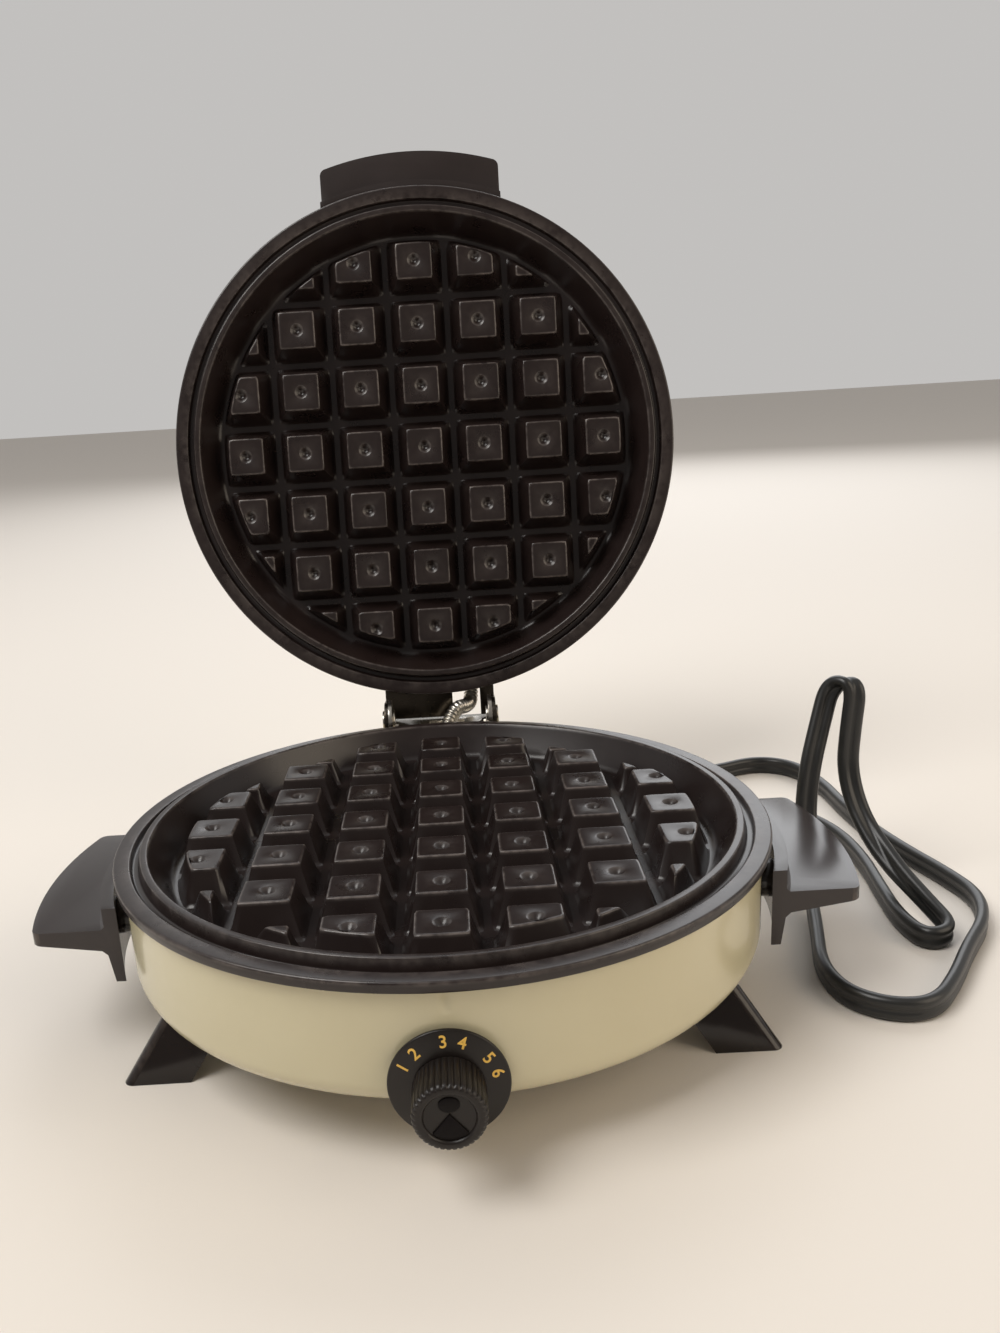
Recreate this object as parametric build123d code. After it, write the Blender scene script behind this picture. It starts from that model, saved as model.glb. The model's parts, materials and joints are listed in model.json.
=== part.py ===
from build123d import *
import math
import os

# Round Belgian waffle maker: a cream drum base on three splayed feet, a matching
# lid on a two-ear rear hinge, two cast grid plates of square posts, a dial knob
# in front, T-section handles, an armoured conduit to the lid and a flat cord.
# Millimetres. The base stands on Z = 0, the front faces -Y, and the lid is
# modelled closed and then swung open about its hinge, as it is in the photograph.

# Cast grid plates, measured from the plane of the post tops
post_pitch = 25.0
post_top_width = 14.7
post_foot_width = 21.2
channel_depth = 11.0
grid_reach = 82.0          # radius that clips the outer posts, at their tops
dimple_width = 5.2
dimple_depth = 1.8
well_radius = 88.0         # floor of the well
lip_inner = 93.6
lip_outer = 96.4
lip_rise = 1.35
groove_width = 2.5
groove_depth = 2.0
rim_radius = 104.5
rim_step = 0.7             # flat rim below the post tops
skirt_depth = 4.0          # underside of the rim
casting_wall = 3.5
spigot_depth = 8.0         # ring that locates the shell
closed_gap = 3.0           # between facing post tops when the lid is shut

# Drawn steel shells
shell_radius = 101.7
shell_wall = 0.9
shell_depth = 39.0         # from the post tops to the flat of the shell
shell_corner = 8.0
lid_crown = 3.0
bottom_opening = 66.0
cover_lap = 6.0
cover_wall = 0.8
cover_dish = 1.6
cover_screw_radius = 1.3
vent_count = 8

# Stance
post_top_height = 57.0     # post tops above the table
foot_angles = {"left": 210.0, "right": 330.0, "rear": 90.0}
foot_nose_radius = 112.0   # reach of a foot's nose at the table
foot_splay = 0.78          # outward lean per unit of height
foot_wall_length = 19.0
foot_half_angle = 30.0
foot_nose_round = 3.0
foot_wall = 2.6
foot_cap = 8.0             # solid height under the shell
foot_screw_inset = 13.5    # from the nose, at the shell

# Handles
handle_gap = 3.5
handle_plate = 4.0
handle_plate_foot = 2.8
handle_half_width = 37.5
wing_span = 28.3           # from the shell to the wing's tip, base handles
lid_wing_span = 21.3
handle_top = 9.0           # below the post tops
handle_bottom = 33.5
wing_top = 16.0
wing_tip_thickness = 4.0
wing_root_thickness = 7.0
wing_corner = 3.0
handle_screw_spread = 20.0
spacer_width = 12.0

# Hinge
open_angle = 99.85
hinge_y = 114.26
hinge_drop = 2.03          # pin axis below the base post tops
pin_radius = 2.4
pin_clearance = 0.1
rivet_head_radius = 4.5
rivet_head = 1.0
strap = 1.5                # thickness of both hinge brackets
base_ear_inner = 20.3
ear_gap = 0.15
base_ear_radius = 9.0
lid_ear_radius = 8.0
ledge_drop = 4.75          # ledge of the base bracket, below the post tops
ledge_reach = 12.2         # behind the pin
stop_gap = 0.3             # open lid to its stop
web_lift = 9.5             # web of the lid bracket, from the pin axis
bracket_height = 27.0

# Dial and thermostat
dial_drop = 29.6           # dial axis below the post tops
index_drop = 8.2           # pressed index mark over the dial
dial_radius = 15.5
dial_gap = 0.9
dial_edge = 1.3
dial_rise = 2.6
knob_radius = 9.25
knob_length = 12.4
knob_face_radius = 6.6
knob_face_depth = 0.8
knob_flutes = 36
flute_radius = 0.5
spindle_radius = 3.0
spindle_clearance = 0.05
spindle_length = 34.0
thermostat_size = (26.0, 20.0, 9.0)

# Heating
element_radius = 62.0
element_tube = 3.25
element_gap_angle = 46.0
element_bend = 7.0
element_leg = 5.0
insulator_clearance = 0.1
clip_angles = (20.0, 160.0, 235.0, 305.0)
reflector_radius = 86.0
reflector_drop = 25.5      # below the post tops
reflector_wall = 0.6
tie_circle = 78.0
tie_boss_radius = 5.0
tie_angles = (45.0, 135.0, 225.0, 315.0)

# Screws
screw_radius = 2.0
screw_clearance = 0.2
head_radius = 3.6
head_height = 2.2

# Conduit
conduit_radius = 3.2
conduit_rib = 0.4
conduit_bore = 2.2
conduit_tail = 8.0         # plain length at each end
conduit_straight = 5.2     # of it, straight in the ferrule
ferrule_wall = 1.2
ferrule_clearance = 0.1
conduit_ribs = 36

# Cord: a flat twin lead, drawn as a round tube of the same section area
cord_radius = 3.1
relief_angle = 60.0
relief_length = 30.0
relief_root = 6.5
relief_tip = 4.6
relief_height = 27.0
plug_length = 28.0
plug_width = 21.0
plug_height = 12.0
blade_length = 17.0
blade_width = 6.3
blade_thickness = 1.5
blade_spacing = 12.7

# Derived places
draft = (post_foot_width - post_top_width) / 2 / channel_depth
hinge_z = post_top_height - hinge_drop
swing = math.radians(open_angle)
web_reach = (ledge_drop - stop_gap - hinge_drop + (web_lift + strap) * math.cos(swing)) / math.sin(swing)
ear_outer = base_ear_inner + strap
lid_ear_inner = ear_outer + ear_gap
lid_plane = post_top_height + closed_gap
lid_ear_outer = lid_ear_inner + strap
handle_inner = shell_radius + handle_gap
handle_reach = shell_radius + wing_span
lid_handle_reach = shell_radius + lid_wing_span
shell_bottom = post_top_height - shell_depth
dial_height = post_top_height - dial_drop
inner_radius = shell_radius - shell_wall
plate_underside = channel_depth + casting_wall
shell_inside = shell_depth - shell_wall


def turned(points):
    """Revolve an outline of (radius, height) points about Z."""
    outline = Wire.make_polygon([(r, 0, z) for r, z in points], close=True)
    return Solid.revolve(Face(outline), 360, Axis.Z)


def disc(radius, low, high):
    return Pos(0, 0, (low + high) / 2) * Cylinder(radius, high - low)


def along(start, direction, radius, length):
    """A round bar from a point along a direction."""
    frame = Plane(origin=start, z_dir=direction)
    return extrude(frame * Circle(radius), length)


def polar(radius, angle, height):
    turn = math.radians(angle)
    return (radius * math.cos(turn), radius * math.sin(turn), height)


def group(solids):
    return Compound([solid for item in solids for solid in item.solids()])


def shell_envelope(radius, corner, depth, crown):
    """Outside form of a drawn shell, open end at the rim's underside, depth upwards."""
    flat = radius - corner
    half_turn = math.sqrt(0.5)
    edges = [
        Line((0, 0, skirt_depth), (radius, 0, skirt_depth)),
        Line((radius, 0, skirt_depth), (radius, 0, depth - corner)),
        ThreePointArc(
            (radius, 0, depth - corner),
            (flat + corner * half_turn, 0, depth - corner + corner * half_turn),
            (flat, 0, depth),
        ),
    ]
    if crown:
        middle = (flat / 2, 0, depth + crown * 0.75)
        edges.append(ThreePointArc((flat, 0, depth), middle, (0, 0, depth + crown)))
    else:
        edges.append(Line((flat, 0, depth), (0, 0, depth)))
    edges.append(Line((0, 0, depth + crown), (0, 0, skirt_depth)))
    return Solid.revolve(Face(Wire(edges)), 360, Axis.Z)


def drawn_shell(crown):
    """Sheet-steel shell: outside form less the same form one wall smaller."""
    outside = shell_envelope(shell_radius, shell_corner, shell_depth, crown)
    inside = shell_envelope(inner_radius, shell_corner - shell_wall, shell_inside, crown)
    return outside - inside


def grid_plate():
    """Cast plate, face up, with its post tops at Z = 0."""
    spigot_outer = inner_radius - screw_clearance
    groove_inner = lip_outer + 0.4
    groove_outer = groove_inner + groove_width
    body = turned([
        (0, -channel_depth),
        (well_radius, -channel_depth),
        (lip_inner - 0.4, lip_rise - 0.6),
        (lip_inner, lip_rise),
        (lip_outer, lip_rise),
        (groove_inner, -rim_step - groove_depth),
        (groove_outer - 0.5, -rim_step - groove_depth),
        (groove_outer, -rim_step),
        (rim_radius - 0.6, -rim_step),
        (rim_radius, -rim_step - 0.6),
        (rim_radius - 0.2, -skirt_depth),
        (spigot_outer, -skirt_depth),
        (spigot_outer, -spigot_depth),
        (spigot_outer - casting_wall, -spigot_depth),
        (well_radius + casting_wall - 0.5, -plate_underside),
        (0, -plate_underside),
    ])
    half_foot = post_foot_width / 2
    foot_reach = grid_reach + draft * channel_depth
    steps = int(rim_radius // post_pitch)
    posts = []
    dimples = []
    for column in range(-steps, steps + 1):
        for row in range(-steps, steps + 1):
            x = column * post_pitch
            y = row * post_pitch
            near = math.hypot(max(abs(x) - half_foot, 0), max(abs(y) - half_foot, 0))
            if near > foot_reach - 2:
                continue
            foot = Pos(x, y, -channel_depth) * Rectangle(post_foot_width, post_foot_width)
            top = Pos(x, y, 0) * Rectangle(post_top_width, post_top_width)
            posts.append(loft([foot, top], ruled=True))
            if math.hypot(x, y) < grid_reach - dimple_width / 2:
                cone = Pos(x, y, -dimple_depth / 2) * Cone(dimple_width / 6, dimple_width / 2, dimple_depth)
                dimples.append(cone)
    limit = Pos(0, 0, -channel_depth / 2) * Cone(foot_reach, grid_reach, channel_depth)
    clipped = [post & limit for post in posts]
    return (body + clipped) - dimples


def tie_bosses(length):
    return [
        along(polar(tie_circle, angle, -plate_underside), (0, 0, -1), tie_boss_radius, length)
        for angle in tie_angles
    ]


def drilled_plate():
    """Plate with its tie bosses and their screw holes."""
    boss = shell_inside - plate_underside
    plate = grid_plate() + tie_bosses(boss)
    drill = [
        along(polar(tie_circle, angle, -shell_inside), (0, 0, 1), screw_radius, boss - 2)
        for angle in tie_angles
    ]
    return plate - drill


def heating_element():
    """Sheathed ring pressed to the plate's underside, its legs turned down."""
    middle = -plate_underside - element_tube
    start = 90 + element_gap_angle / 2
    sweep_angle = 360 - element_gap_angle
    half_turn = math.sqrt(0.5)
    ring = CenterArc((0, 0, middle), element_radius, start, sweep_angle)
    tube = sweep(Plane(origin=ring @ 0, z_dir=ring % 0) * Circle(element_tube), path=ring)
    for place, sign in ((0, -1), (1, 1)):
        end = ring @ place
        ahead = (ring % place) * sign
        corner = end + ahead * element_bend
        bend = ThreePointArc(
            end,
            end + ahead * element_bend * half_turn + Vector(0, 0, -element_bend * (1 - half_turn)),
            corner + Vector(0, 0, -element_bend),
        )
        tube += sweep(Plane(origin=end, z_dir=ahead) * Circle(element_tube), path=bend)
        tube += along(corner + Vector(0, 0, -element_bend), (0, 0, -1), element_tube, element_leg)
    return tube


def element_legs():
    """Centres of the two element legs."""
    places = []
    for sign in (-1, 1):
        turn = math.radians(90 + sign * element_gap_angle / 2)
        x = element_radius * math.cos(turn) + sign * element_bend * math.sin(turn)
        y = element_radius * math.sin(turn) - sign * element_bend * math.cos(turn)
        places.append((x, y))
    return places


def element_clips():
    """Spring straps that hold the ring to the plate."""
    clips = []
    for angle in clip_angles:
        tube_end = 2 * element_tube
        strap_part = Box(22, 8, 1.0, align=(Align.CENTER, Align.CENTER, Align.MAX))
        strap_part = Pos(0, 0, -plate_underside - tube_end) * strap_part
        pad = Box(6, 8, tube_end, align=(Align.CENTER, Align.CENTER, Align.MAX))
        pad = Pos(-8, 0, -plate_underside) * pad
        clips.append(Rot(0, 0, angle) * Pos(element_radius, 0, 0) * (strap_part + pad))
    return group(clips)


def reflector(front_notch):
    """Thin bright pan between the element and the shell."""
    top = -reflector_drop
    pan = turned([
        (0, top),
        (reflector_radius - 3, top),
        (reflector_radius, top + 5),
        (reflector_radius + reflector_wall, top + 5),
        (reflector_radius - 3 + reflector_wall, top - reflector_wall),
        (0, top - reflector_wall),
    ])
    holes = [
        along(polar(tie_circle, angle, top - 3), (0, 0, 1), tie_boss_radius + 0.3, 12)
        for angle in tie_angles
    ]
    holes += [along((x, y, top - 3), (0, 0, 1), element_tube + 1.5, 6) for x, y in element_legs()]
    if front_notch:
        width, depth, _ = thermostat_size
        holes.append(Pos(0, -reflector_radius + depth / 2, top) * Box(width + 4, depth + 22, 14))
    return pan - holes


def insulators():
    """Ceramic collars where the element legs pass the reflector."""
    collars = []
    for x, y in element_legs():
        collar = along((x, y, -reflector_drop - 3.6), (0, 0, 1), element_tube + 1.5, 4.4)
        bore = along((x, y, -reflector_drop - 4), (0, 0, 1), element_tube + insulator_clearance, 6)
        collars.append(collar - bore)
    return group(collars)


def handle(reach):
    """T-section moulding on the +X side, measured down from the post tops."""
    plate_outer = handle_inner + handle_plate
    foot_outer = handle_inner + handle_plate_foot
    section = turned([
        (handle_inner, -handle_top),
        (plate_outer, -handle_top),
        (plate_outer, -wing_top + 1.0),
        (plate_outer + 1.0, -wing_top),
        (reach, -wing_top),
        (reach, -wing_top - wing_tip_thickness),
        (plate_outer + 1.5, -wing_top - wing_root_thickness),
        (plate_outer, -wing_top - wing_root_thickness - 1.5),
        (foot_outer, -handle_bottom),
        (handle_inner, -handle_bottom),
    ])
    width = 2 * handle_half_width
    block = section & (Pos(reach / 2 + 20, 0, -20) * Box(reach, width, 60))
    tips = [
        edge for edge in block.edges().filter_by(Axis.Z)
        if math.hypot(edge.center().X, edge.center().Y) > reach - 0.5
    ]
    return fillet(tips, wing_corner) - handle_drills(handle_inner - 1, 4.5, screw_radius)


def handle_axes():
    """Angles of the two screws that hold a handle."""
    turn = math.degrees(math.asin(handle_screw_spread / handle_inner))
    return (-turn, turn)


def handle_drills(start, length, radius):
    level = -wing_top - wing_root_thickness / 2
    return [
        along(polar(start, angle, level), polar(1, angle, 0), radius, length)
        for angle in handle_axes()
    ]


def handle_spacers():
    ring = disc(handle_inner, -handle_bottom, -handle_top)
    ring = ring - disc(shell_radius, -handle_bottom - 1, -handle_top + 1)
    bars = handle_drills(shell_radius - 2, handle_gap + 4, spacer_width / 2)
    cuts = handle_drills(shell_radius - 3, handle_gap + 6, screw_radius + screw_clearance)
    return group([(bar & ring) - cuts for bar in bars])


def handle_screws():
    """Pan heads inside the shell, shanks out through the spacers."""
    shanks = handle_drills(inner_radius - 0.4, handle_inner + 3.0 - inner_radius, screw_radius)
    heads = handle_drills(inner_radius - 0.4 - head_height, head_height, head_radius)
    return group([shank + head for shank, head in zip(shanks, heads)])


def handle_holes():
    return handle_drills(inner_radius - 3, 6, screw_radius + screw_clearance)


def foot_section(height):
    """Wedge outline of a foot at a height, nose outwards along +X."""
    nose = foot_nose_radius - foot_splay * height
    back = foot_wall_length * math.cos(math.radians(foot_half_angle))
    side = foot_wall_length * math.sin(math.radians(foot_half_angle))
    apex = foot_nose_round / math.sin(math.radians(foot_half_angle)) - foot_nose_round
    outline = make_face(Polyline(
        (nose + apex, 0), (nose - back, side + apex / 2), (nose - back, -side - apex / 2), close=True,
    ))
    tip = outline.vertices().sort_by(Axis.X)[-1]
    return Pos(0, 0, height) * fillet(tip, foot_nose_round)


def foot_core(height):
    nose = foot_nose_radius - foot_splay * height - 2.2 * foot_wall
    back = foot_wall_length * math.cos(math.radians(foot_half_angle))
    side = (back - foot_wall * 1.2) * math.tan(math.radians(foot_half_angle)) - foot_wall * 0.4
    inner = foot_nose_radius - foot_splay * height - back + foot_wall
    return Pos(0, 0, height) * make_face(Polyline((nose, 0), (inner, side), (inner, -side), close=True))


def foot():
    """Splayed wedge foot along +X, cut to seat under the rounded shell."""
    tall = shell_bottom + shell_corner
    wedge = loft([foot_section(0), foot_section(tall)])
    core_top = shell_bottom - foot_cap
    hollow = loft([foot_core(-1), foot_core(core_top)], ruled=True)
    envelope = shell_envelope(shell_radius, shell_corner, shell_depth, 0)
    envelope = Pos(0, 0, post_top_height) * Rot(180, 0, 0) * envelope
    screw = along((foot_screw_place(), 0, shell_bottom - 6), (0, 0, 1), screw_radius, 10)
    return wedge - hollow - envelope - screw


def foot_screw_place():
    return foot_nose_radius - foot_splay * shell_bottom - foot_screw_inset


def foot_screw():
    place = foot_screw_place()
    seat = shell_bottom + shell_wall
    shank = along((place, 0, shell_bottom - 6), (0, 0, 1), screw_radius, 6 + shell_wall)
    return shank + along((place, 0, seat), (0, 0, 1), head_radius, head_height)


def bottom_cover():
    """Service plate lapped under the shell's opening, with radial vents."""
    lap = bottom_opening + cover_lap
    dish = bottom_opening - 4
    under = shell_bottom - cover_wall
    plate = turned([
        (0, shell_bottom - cover_dish), (dish, shell_bottom - cover_dish), (dish + cover_dish, shell_bottom),
        (lap, shell_bottom), (lap, under), (dish + cover_dish, under),
        (dish, under - cover_dish), (0, under - cover_dish),
    ])
    vents = []
    for index in range(vent_count):
        slot = Pos(bottom_opening * 0.55, 0, shell_bottom - 2) * Box(24, 4, 6)
        vents.append(Rot(0, 0, 360 / vent_count * (index + 0.5)) * slot)
    screws = [
        along(polar(lap - 3, angle + 22.5, 0), (0, 0, 1), cover_screw_radius, 40)
        for angle in tie_angles
    ]
    return plate - vents - screws


def cover_screws():
    """Short screws up into the shell's flange."""
    screws = []
    for angle in tie_angles:
        place = polar(bottom_opening + cover_lap - 3, angle + 22.5, shell_bottom - cover_wall)
        screw = along(place, (0, 0, 1), cover_screw_radius, cover_wall + shell_wall + 1.5)
        screws.append(screw + along(place, (0, 0, -1), 2 * cover_screw_radius, 1.2))
    return group(screws)


def hinge_base_bracket():
    """Ledge and two ears behind the base, on a flange curved to the shell."""
    width = 2 * ear_outer
    top = post_top_height - ledge_drop
    flange = disc(shell_radius + strap, top - bracket_height, top) - disc(shell_radius, 0, top + 1)
    flange = flange & (Pos(0, shell_radius, top - bracket_height / 2) * Box(width, 40, bracket_height))
    ledge_end = hinge_y + ledge_reach
    ledge = Pos(0, (ledge_end + shell_radius - 4) / 2, top - strap / 2)
    ledge = ledge * Box(width, ledge_end - shell_radius + 4, strap)
    ledge = ledge - disc(shell_radius, 0, top + 1)
    bracket = flange + ledge
    for side in (-1, 1):
        middle = side * (ear_outer - strap / 2)
        back = hinge_y + base_ear_radius
        front = hinge_y - base_ear_radius
        eye = Pos(middle, hinge_y, hinge_z) * Rot(0, 90, 0) * Cylinder(base_ear_radius, strap)
        stem = Pos(middle, (front + back) / 2, (top - strap + hinge_z) / 2)
        stem = stem * Box(strap, back - front, hinge_z - top + strap)
        bracket += eye + stem
        bracket -= Pos(middle, hinge_y, hinge_z) * Rot(0, 90, 0) * Cylinder(pin_radius, strap * 2)
        relief = along((side * (base_ear_inner - 2 * rivet_head), hinge_y, hinge_z), (side, 0, 0),
                       rivet_head_radius + 0.3, 2 * rivet_head)
        bracket -= relief
    slot = Pos(2.5, hinge_y - 0.5, top) * Box(15, 12.5, 8)
    return bracket - slot - bracket_drills(shell_radius - 3, 9) - base_hole


def bracket_level():
    return post_top_height - ledge_drop - bracket_height * 0.62


def bracket_drills(start, length, radius=screw_radius + screw_clearance):
    turn = math.degrees(math.asin(13.0 / shell_radius))
    return [
        along(polar(start, 90 + angle, bracket_level()), polar(1, 90 + angle, 0), radius, length)
        for angle in (-turn, turn)
    ]


def bracket_screws():
    """Screws through the base bracket and shell, with nuts inside."""
    outer = shell_radius + strap
    shanks = bracket_drills(inner_radius - 4, outer - inner_radius + 4, screw_radius)
    heads = bracket_drills(outer, head_height * 0.8, head_radius)
    nuts = bracket_drills(inner_radius - 3.2, 2.7, head_radius)
    return group([shank + head + nut for shank, head, nut in zip(shanks, heads, nuts)])


def hinge_pins():
    """Two flanged rivets on the hinge axis."""
    outer = lid_ear_outer + pin_clearance
    rivets = []
    for side in (-1, 1):
        direction = (side, 0, 0)
        start = (side * (base_ear_inner - rivet_head), hinge_y, hinge_z)
        length = outer - base_ear_inner + rivet_head
        rivet = along(start, direction, pin_radius, length)
        rivet += along(start, direction, rivet_head_radius, rivet_head)
        rivet += along((side * outer, hinge_y, hinge_z), direction, rivet_head_radius, rivet_head)
        rivets.append(rivet)
    return group(rivets)


def hinge_lid_bracket():
    """Web and ears on a flange curved to the lid shell, lid shut."""
    low = hinge_z + web_lift
    high = low + bracket_height
    width = 2 * lid_ear_outer
    flange = disc(shell_radius + strap, low, high) - disc(shell_radius, low - 1, high + 1)
    flange = flange & (Pos(0, shell_radius, (low + high) / 2) * Box(width, 40, bracket_height))
    web_end = hinge_y + web_reach
    web = Pos(0, (web_end + shell_radius - 6) / 2, low + strap / 2)
    web = web * Box(width, web_end - shell_radius + 6, strap) - disc(shell_radius, low - 1, low + 3)
    bracket = flange + web
    for side in (-1, 1):
        middle = side * (lid_ear_outer - strap / 2)
        reach = shell_radius - hinge_y
        outline = [
            (-lid_ear_radius, 0), (-lid_ear_radius, web_lift), (reach - 3, web_lift),
            (reach - 3, bracket_height), (reach + 2, bracket_height),
            (web_reach, web_lift + strap), (lid_ear_radius, 0),
        ]
        points = [(middle - strap / 2, hinge_y + y, hinge_z + z) for y, z in outline]
        cheek = Solid.extrude(Face(Wire.make_polygon(points, close=True)), Vector(strap, 0, 0))
        cheek = cheek - disc(shell_radius, low - 1, high + 9)
        eye = Pos(middle, hinge_y, hinge_z) * Rot(0, 90, 0) * Cylinder(lid_ear_radius, strap)
        bracket += cheek + eye
        pin_hole = Cylinder(pin_radius + pin_clearance, strap * 2)
        bracket -= Pos(middle, hinge_y, hinge_z) * Rot(0, 90, 0) * pin_hole
    slot = Pos(11.5, hinge_y - 5.1, low) * Box(12, 14.4, 8)
    return bracket - slot - lid_bracket_drills(shell_radius - 3, 9)


def lid_bracket_drills(start, length, radius=screw_radius + screw_clearance):
    turn = math.degrees(math.asin(18.0 / shell_radius))
    level = hinge_z + web_lift + bracket_height * 0.74
    return [
        along(polar(start, 90 + angle, level), polar(1, 90 + angle, 0), radius, length)
        for angle in (-turn, turn)
    ]


def lid_bracket_screws():
    outer = shell_radius + strap
    shanks = lid_bracket_drills(inner_radius - 4, outer - inner_radius + 4, screw_radius)
    heads = lid_bracket_drills(outer, head_height * 0.8, head_radius)
    nuts = lid_bracket_drills(inner_radius - 3.2, 2.7, head_radius)
    return group([shank + head + nut for shank, head, nut in zip(shanks, heads, nuts)])


def dial_skirt():
    """Dial flange on the knob, axis along Z, its back at Z = 0."""
    skirt = turned([
        (spindle_radius, 0),
        (dial_radius, 0),
        (dial_radius, dial_edge),
        (knob_radius, dial_rise),
        (spindle_radius, dial_rise),
    ])
    return skirt


def dial_knob():
    """Fluted grip with a dished face and a shallow pointer wedge."""
    top = dial_rise + knob_length
    grip = turned([
        (spindle_radius, dial_rise),
        (knob_radius, dial_rise),
        (knob_radius, top - 0.8),
        (knob_radius - 0.8, top),
        (knob_face_radius + 0.4, top),
        (knob_face_radius, top - knob_face_depth),
        (0, top - knob_face_depth),
        (0, top - 5),
        (spindle_radius, top - 5),
    ])
    flute = along((knob_radius + 0.1, 0, dial_rise + 1.2), (0, 0, 1), flute_radius, knob_length)
    flutes = [Rot(0, 0, 360 / knob_flutes * index) * flute for index in range(knob_flutes)]
    button = along((0, knob_face_radius * 0.55, top - knob_face_depth), (0, 0, 1), 1.8, 0.5)
    face = top - knob_face_depth
    wedge = make_face(Polyline((0, 0.4), (-3.9, -3.6), (0, -5.6), (3.9, -3.6), close=True))
    pointer = extrude(Pos(0, 0, face - 0.4) * wedge, 1.0)
    return (grip - flutes + button) - pointer


def to_dial(solid, start):
    """Place a solid made along +Z onto the dial axis, pointing to the front."""
    return Pos(0, -start, dial_height) * Rot(90, 0, 0) * solid


def dial_start():
    return shell_radius + dial_gap


def spindle():
    reach = dial_start() + dial_rise + knob_length - 5
    bar = along((0, -reach, dial_height), (0, 1, 0), spindle_radius, spindle_length)
    return bar


def thermostat_bushing():
    """Threaded brass bush in the bracket, with its nut."""
    face = inner_radius - 12
    bush = along((0, -face - 7, dial_height), (0, 1, 0), 5.0, 9.0)
    bush += along((0, -face, dial_height), (0, 1, 0), 7.0, 2.0)
    return bush - along((0, -face - 9, dial_height), (0, 1, 0), spindle_radius + spindle_clearance, 14)


def thermostat_bracket():
    """Angle bracket from the plate's underside down past the spindle."""
    face = inner_radius - 12
    under = post_top_height - plate_underside
    upright = Pos(0, -face + 2.6, (under + dial_height - 6) / 2) * Box(18, 1.2, under - dial_height + 6)
    foot_part = Pos(0, -face + 8, under - 0.6) * Box(18, 12, 1.2)
    hole = along((0, -face, dial_height), (0, 1, 0), 5.0, 6)
    return upright + foot_part - hole


def thermostat_body():
    """Ceramic stack behind the bracket."""
    face = inner_radius - 12 - 3.2
    width, depth, height = thermostat_size
    block = Pos(0, -face + depth / 2, dial_height - 0.5) * Box(width, depth, height)
    tunnel = along((0, -face - 1, dial_height), (0, 1, 0), spindle_radius + 1.0, depth * 0.8)
    return block - tunnel


def bimetal_blade():
    """Bimetal strip over the stack, close under the hot plate."""
    face = inner_radius - 12 - 3.2
    _, depth, height = thermostat_size
    low = dial_height - 0.5 + height / 2
    post = Pos(0, -face + depth - 3, low + 1.5) * Box(8, 6, 3)
    blade = Pos(0, -face + depth / 2 + 6, low + 3.4) * Box(8, depth + 12, 0.8)
    return post + blade


def strain_relief():
    """Tapered moulded sleeve at the rear right of the shell."""
    start = polar(inner_radius - 2, relief_angle, relief_height)
    out = Vector(*polar(1, relief_angle, 0))
    flange = along(start, out, relief_root, shell_radius - inner_radius + 2)
    sleeve = Plane(origin=polar(shell_radius, relief_angle, relief_height), z_dir=out)
    cone = loft([sleeve * Circle(relief_root), sleeve.offset(relief_length) * Circle(relief_tip)])
    return flange + cone


def relief_hole():
    start = polar(inner_radius - 5, relief_angle, relief_height)
    return along(start, polar(1, relief_angle, 0), relief_root, 10)


# The cord's route from the sleeve's tip to the plug, relative to the base axis
cord_route = [
    polar(shell_radius + relief_length, relief_angle, relief_height),
    polar(shell_radius + relief_length + 12.0, relief_angle, relief_height),
    (82.0, 141.0, 20.0), (95.0, 153.0, 9.0), (109.0, 160.0, 4.5), (128.0, 164.0, 4.0),
    (151.0, 175.0, 4.0), (168.0, 165.0, 4.0), (173.0, 138.0, 4.0), (173.0, 112.0, 4.0),
    (175.0, 90.0, 4.0), (180.0, 64.0, 4.0), (187.0, 40.0, 4.0), (190.0, 22.0, 4.0),
    (184.0, 4.0, 4.0), (170.0, -14.0, 4.0), (158.0, -32.0, 4.0), (146.0, -46.0, 4.0),
    (133.0, -46.0, 4.0), (122.0, -37.0, 4.0), (120.0, -20.0, 4.0), (126.0, 2.0, 4.0),
    (131.0, 24.0, 5.0), (135.0, 42.0, 14.0), (136.0, 50.0, 30.0), (138.0, 53.0, 46.0),
    (143.0, 58.0, 62.0), (147.5, 62.0, 76.0), (157.0, 54.0, 77.0), (153.0, 55.0, 60.0),
    (152.0, 53.0, 44.0), (155.0, 45.0, 28.0), (161.0, 30.0, 16.0), (168.0, 12.0, 8.0),
    (171.0, -2.0, 4.5), (160.0, -6.0, 4.0), (157.0, 10.0, 4.0), (159.0, 32.0, 4.0),
    (162.0, 58.0, 4.0), (161.0, 84.0, 4.0), (153.0, 104.0, 4.0), (141.0, 114.0, 4.5),
    (129.0, 116.5, 6.0), (115.0, 113.0, 6.0),
]


def corner_radii(route):
    """An arc at each corner, as large as its two runs allow."""
    points = [Vector(*point) for point in route]
    radii = []
    for before, here, after in zip(points, points[1:], points[2:]):
        shorter = min((here - before).length, (after - here).length)
        turn = math.radians((here - before).get_angle(after - here))
        radii.append(0.45 * shorter / math.tan(turn / 2))
    return radii


def cord():
    radii = corner_radii(cord_route)
    path = FilletPolyline(*cord_route, radius=radii)
    start = Plane(origin=path @ 0, z_dir=path % 0)
    tube = sweep(start * Circle(cord_radius), path=path)
    ideal = math.pi * cord_radius ** 2 * path.length
    print("cord radii", [round(radius, 1) for radius in radii])
    print("cord length", round(path.length, 1), "volume ratio", round(tube.volume / ideal, 4))
    return tube


def plug_frame():
    before = Vector(*cord_route[-2])
    end = Vector(*cord_route[-1])
    heading = (end - before).normalized()
    level = Vector(heading.X, heading.Y, 0).normalized()
    across = Vector(-level.Y, level.X, 0)
    return Plane(origin=end, x_dir=across, z_dir=level)


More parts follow.
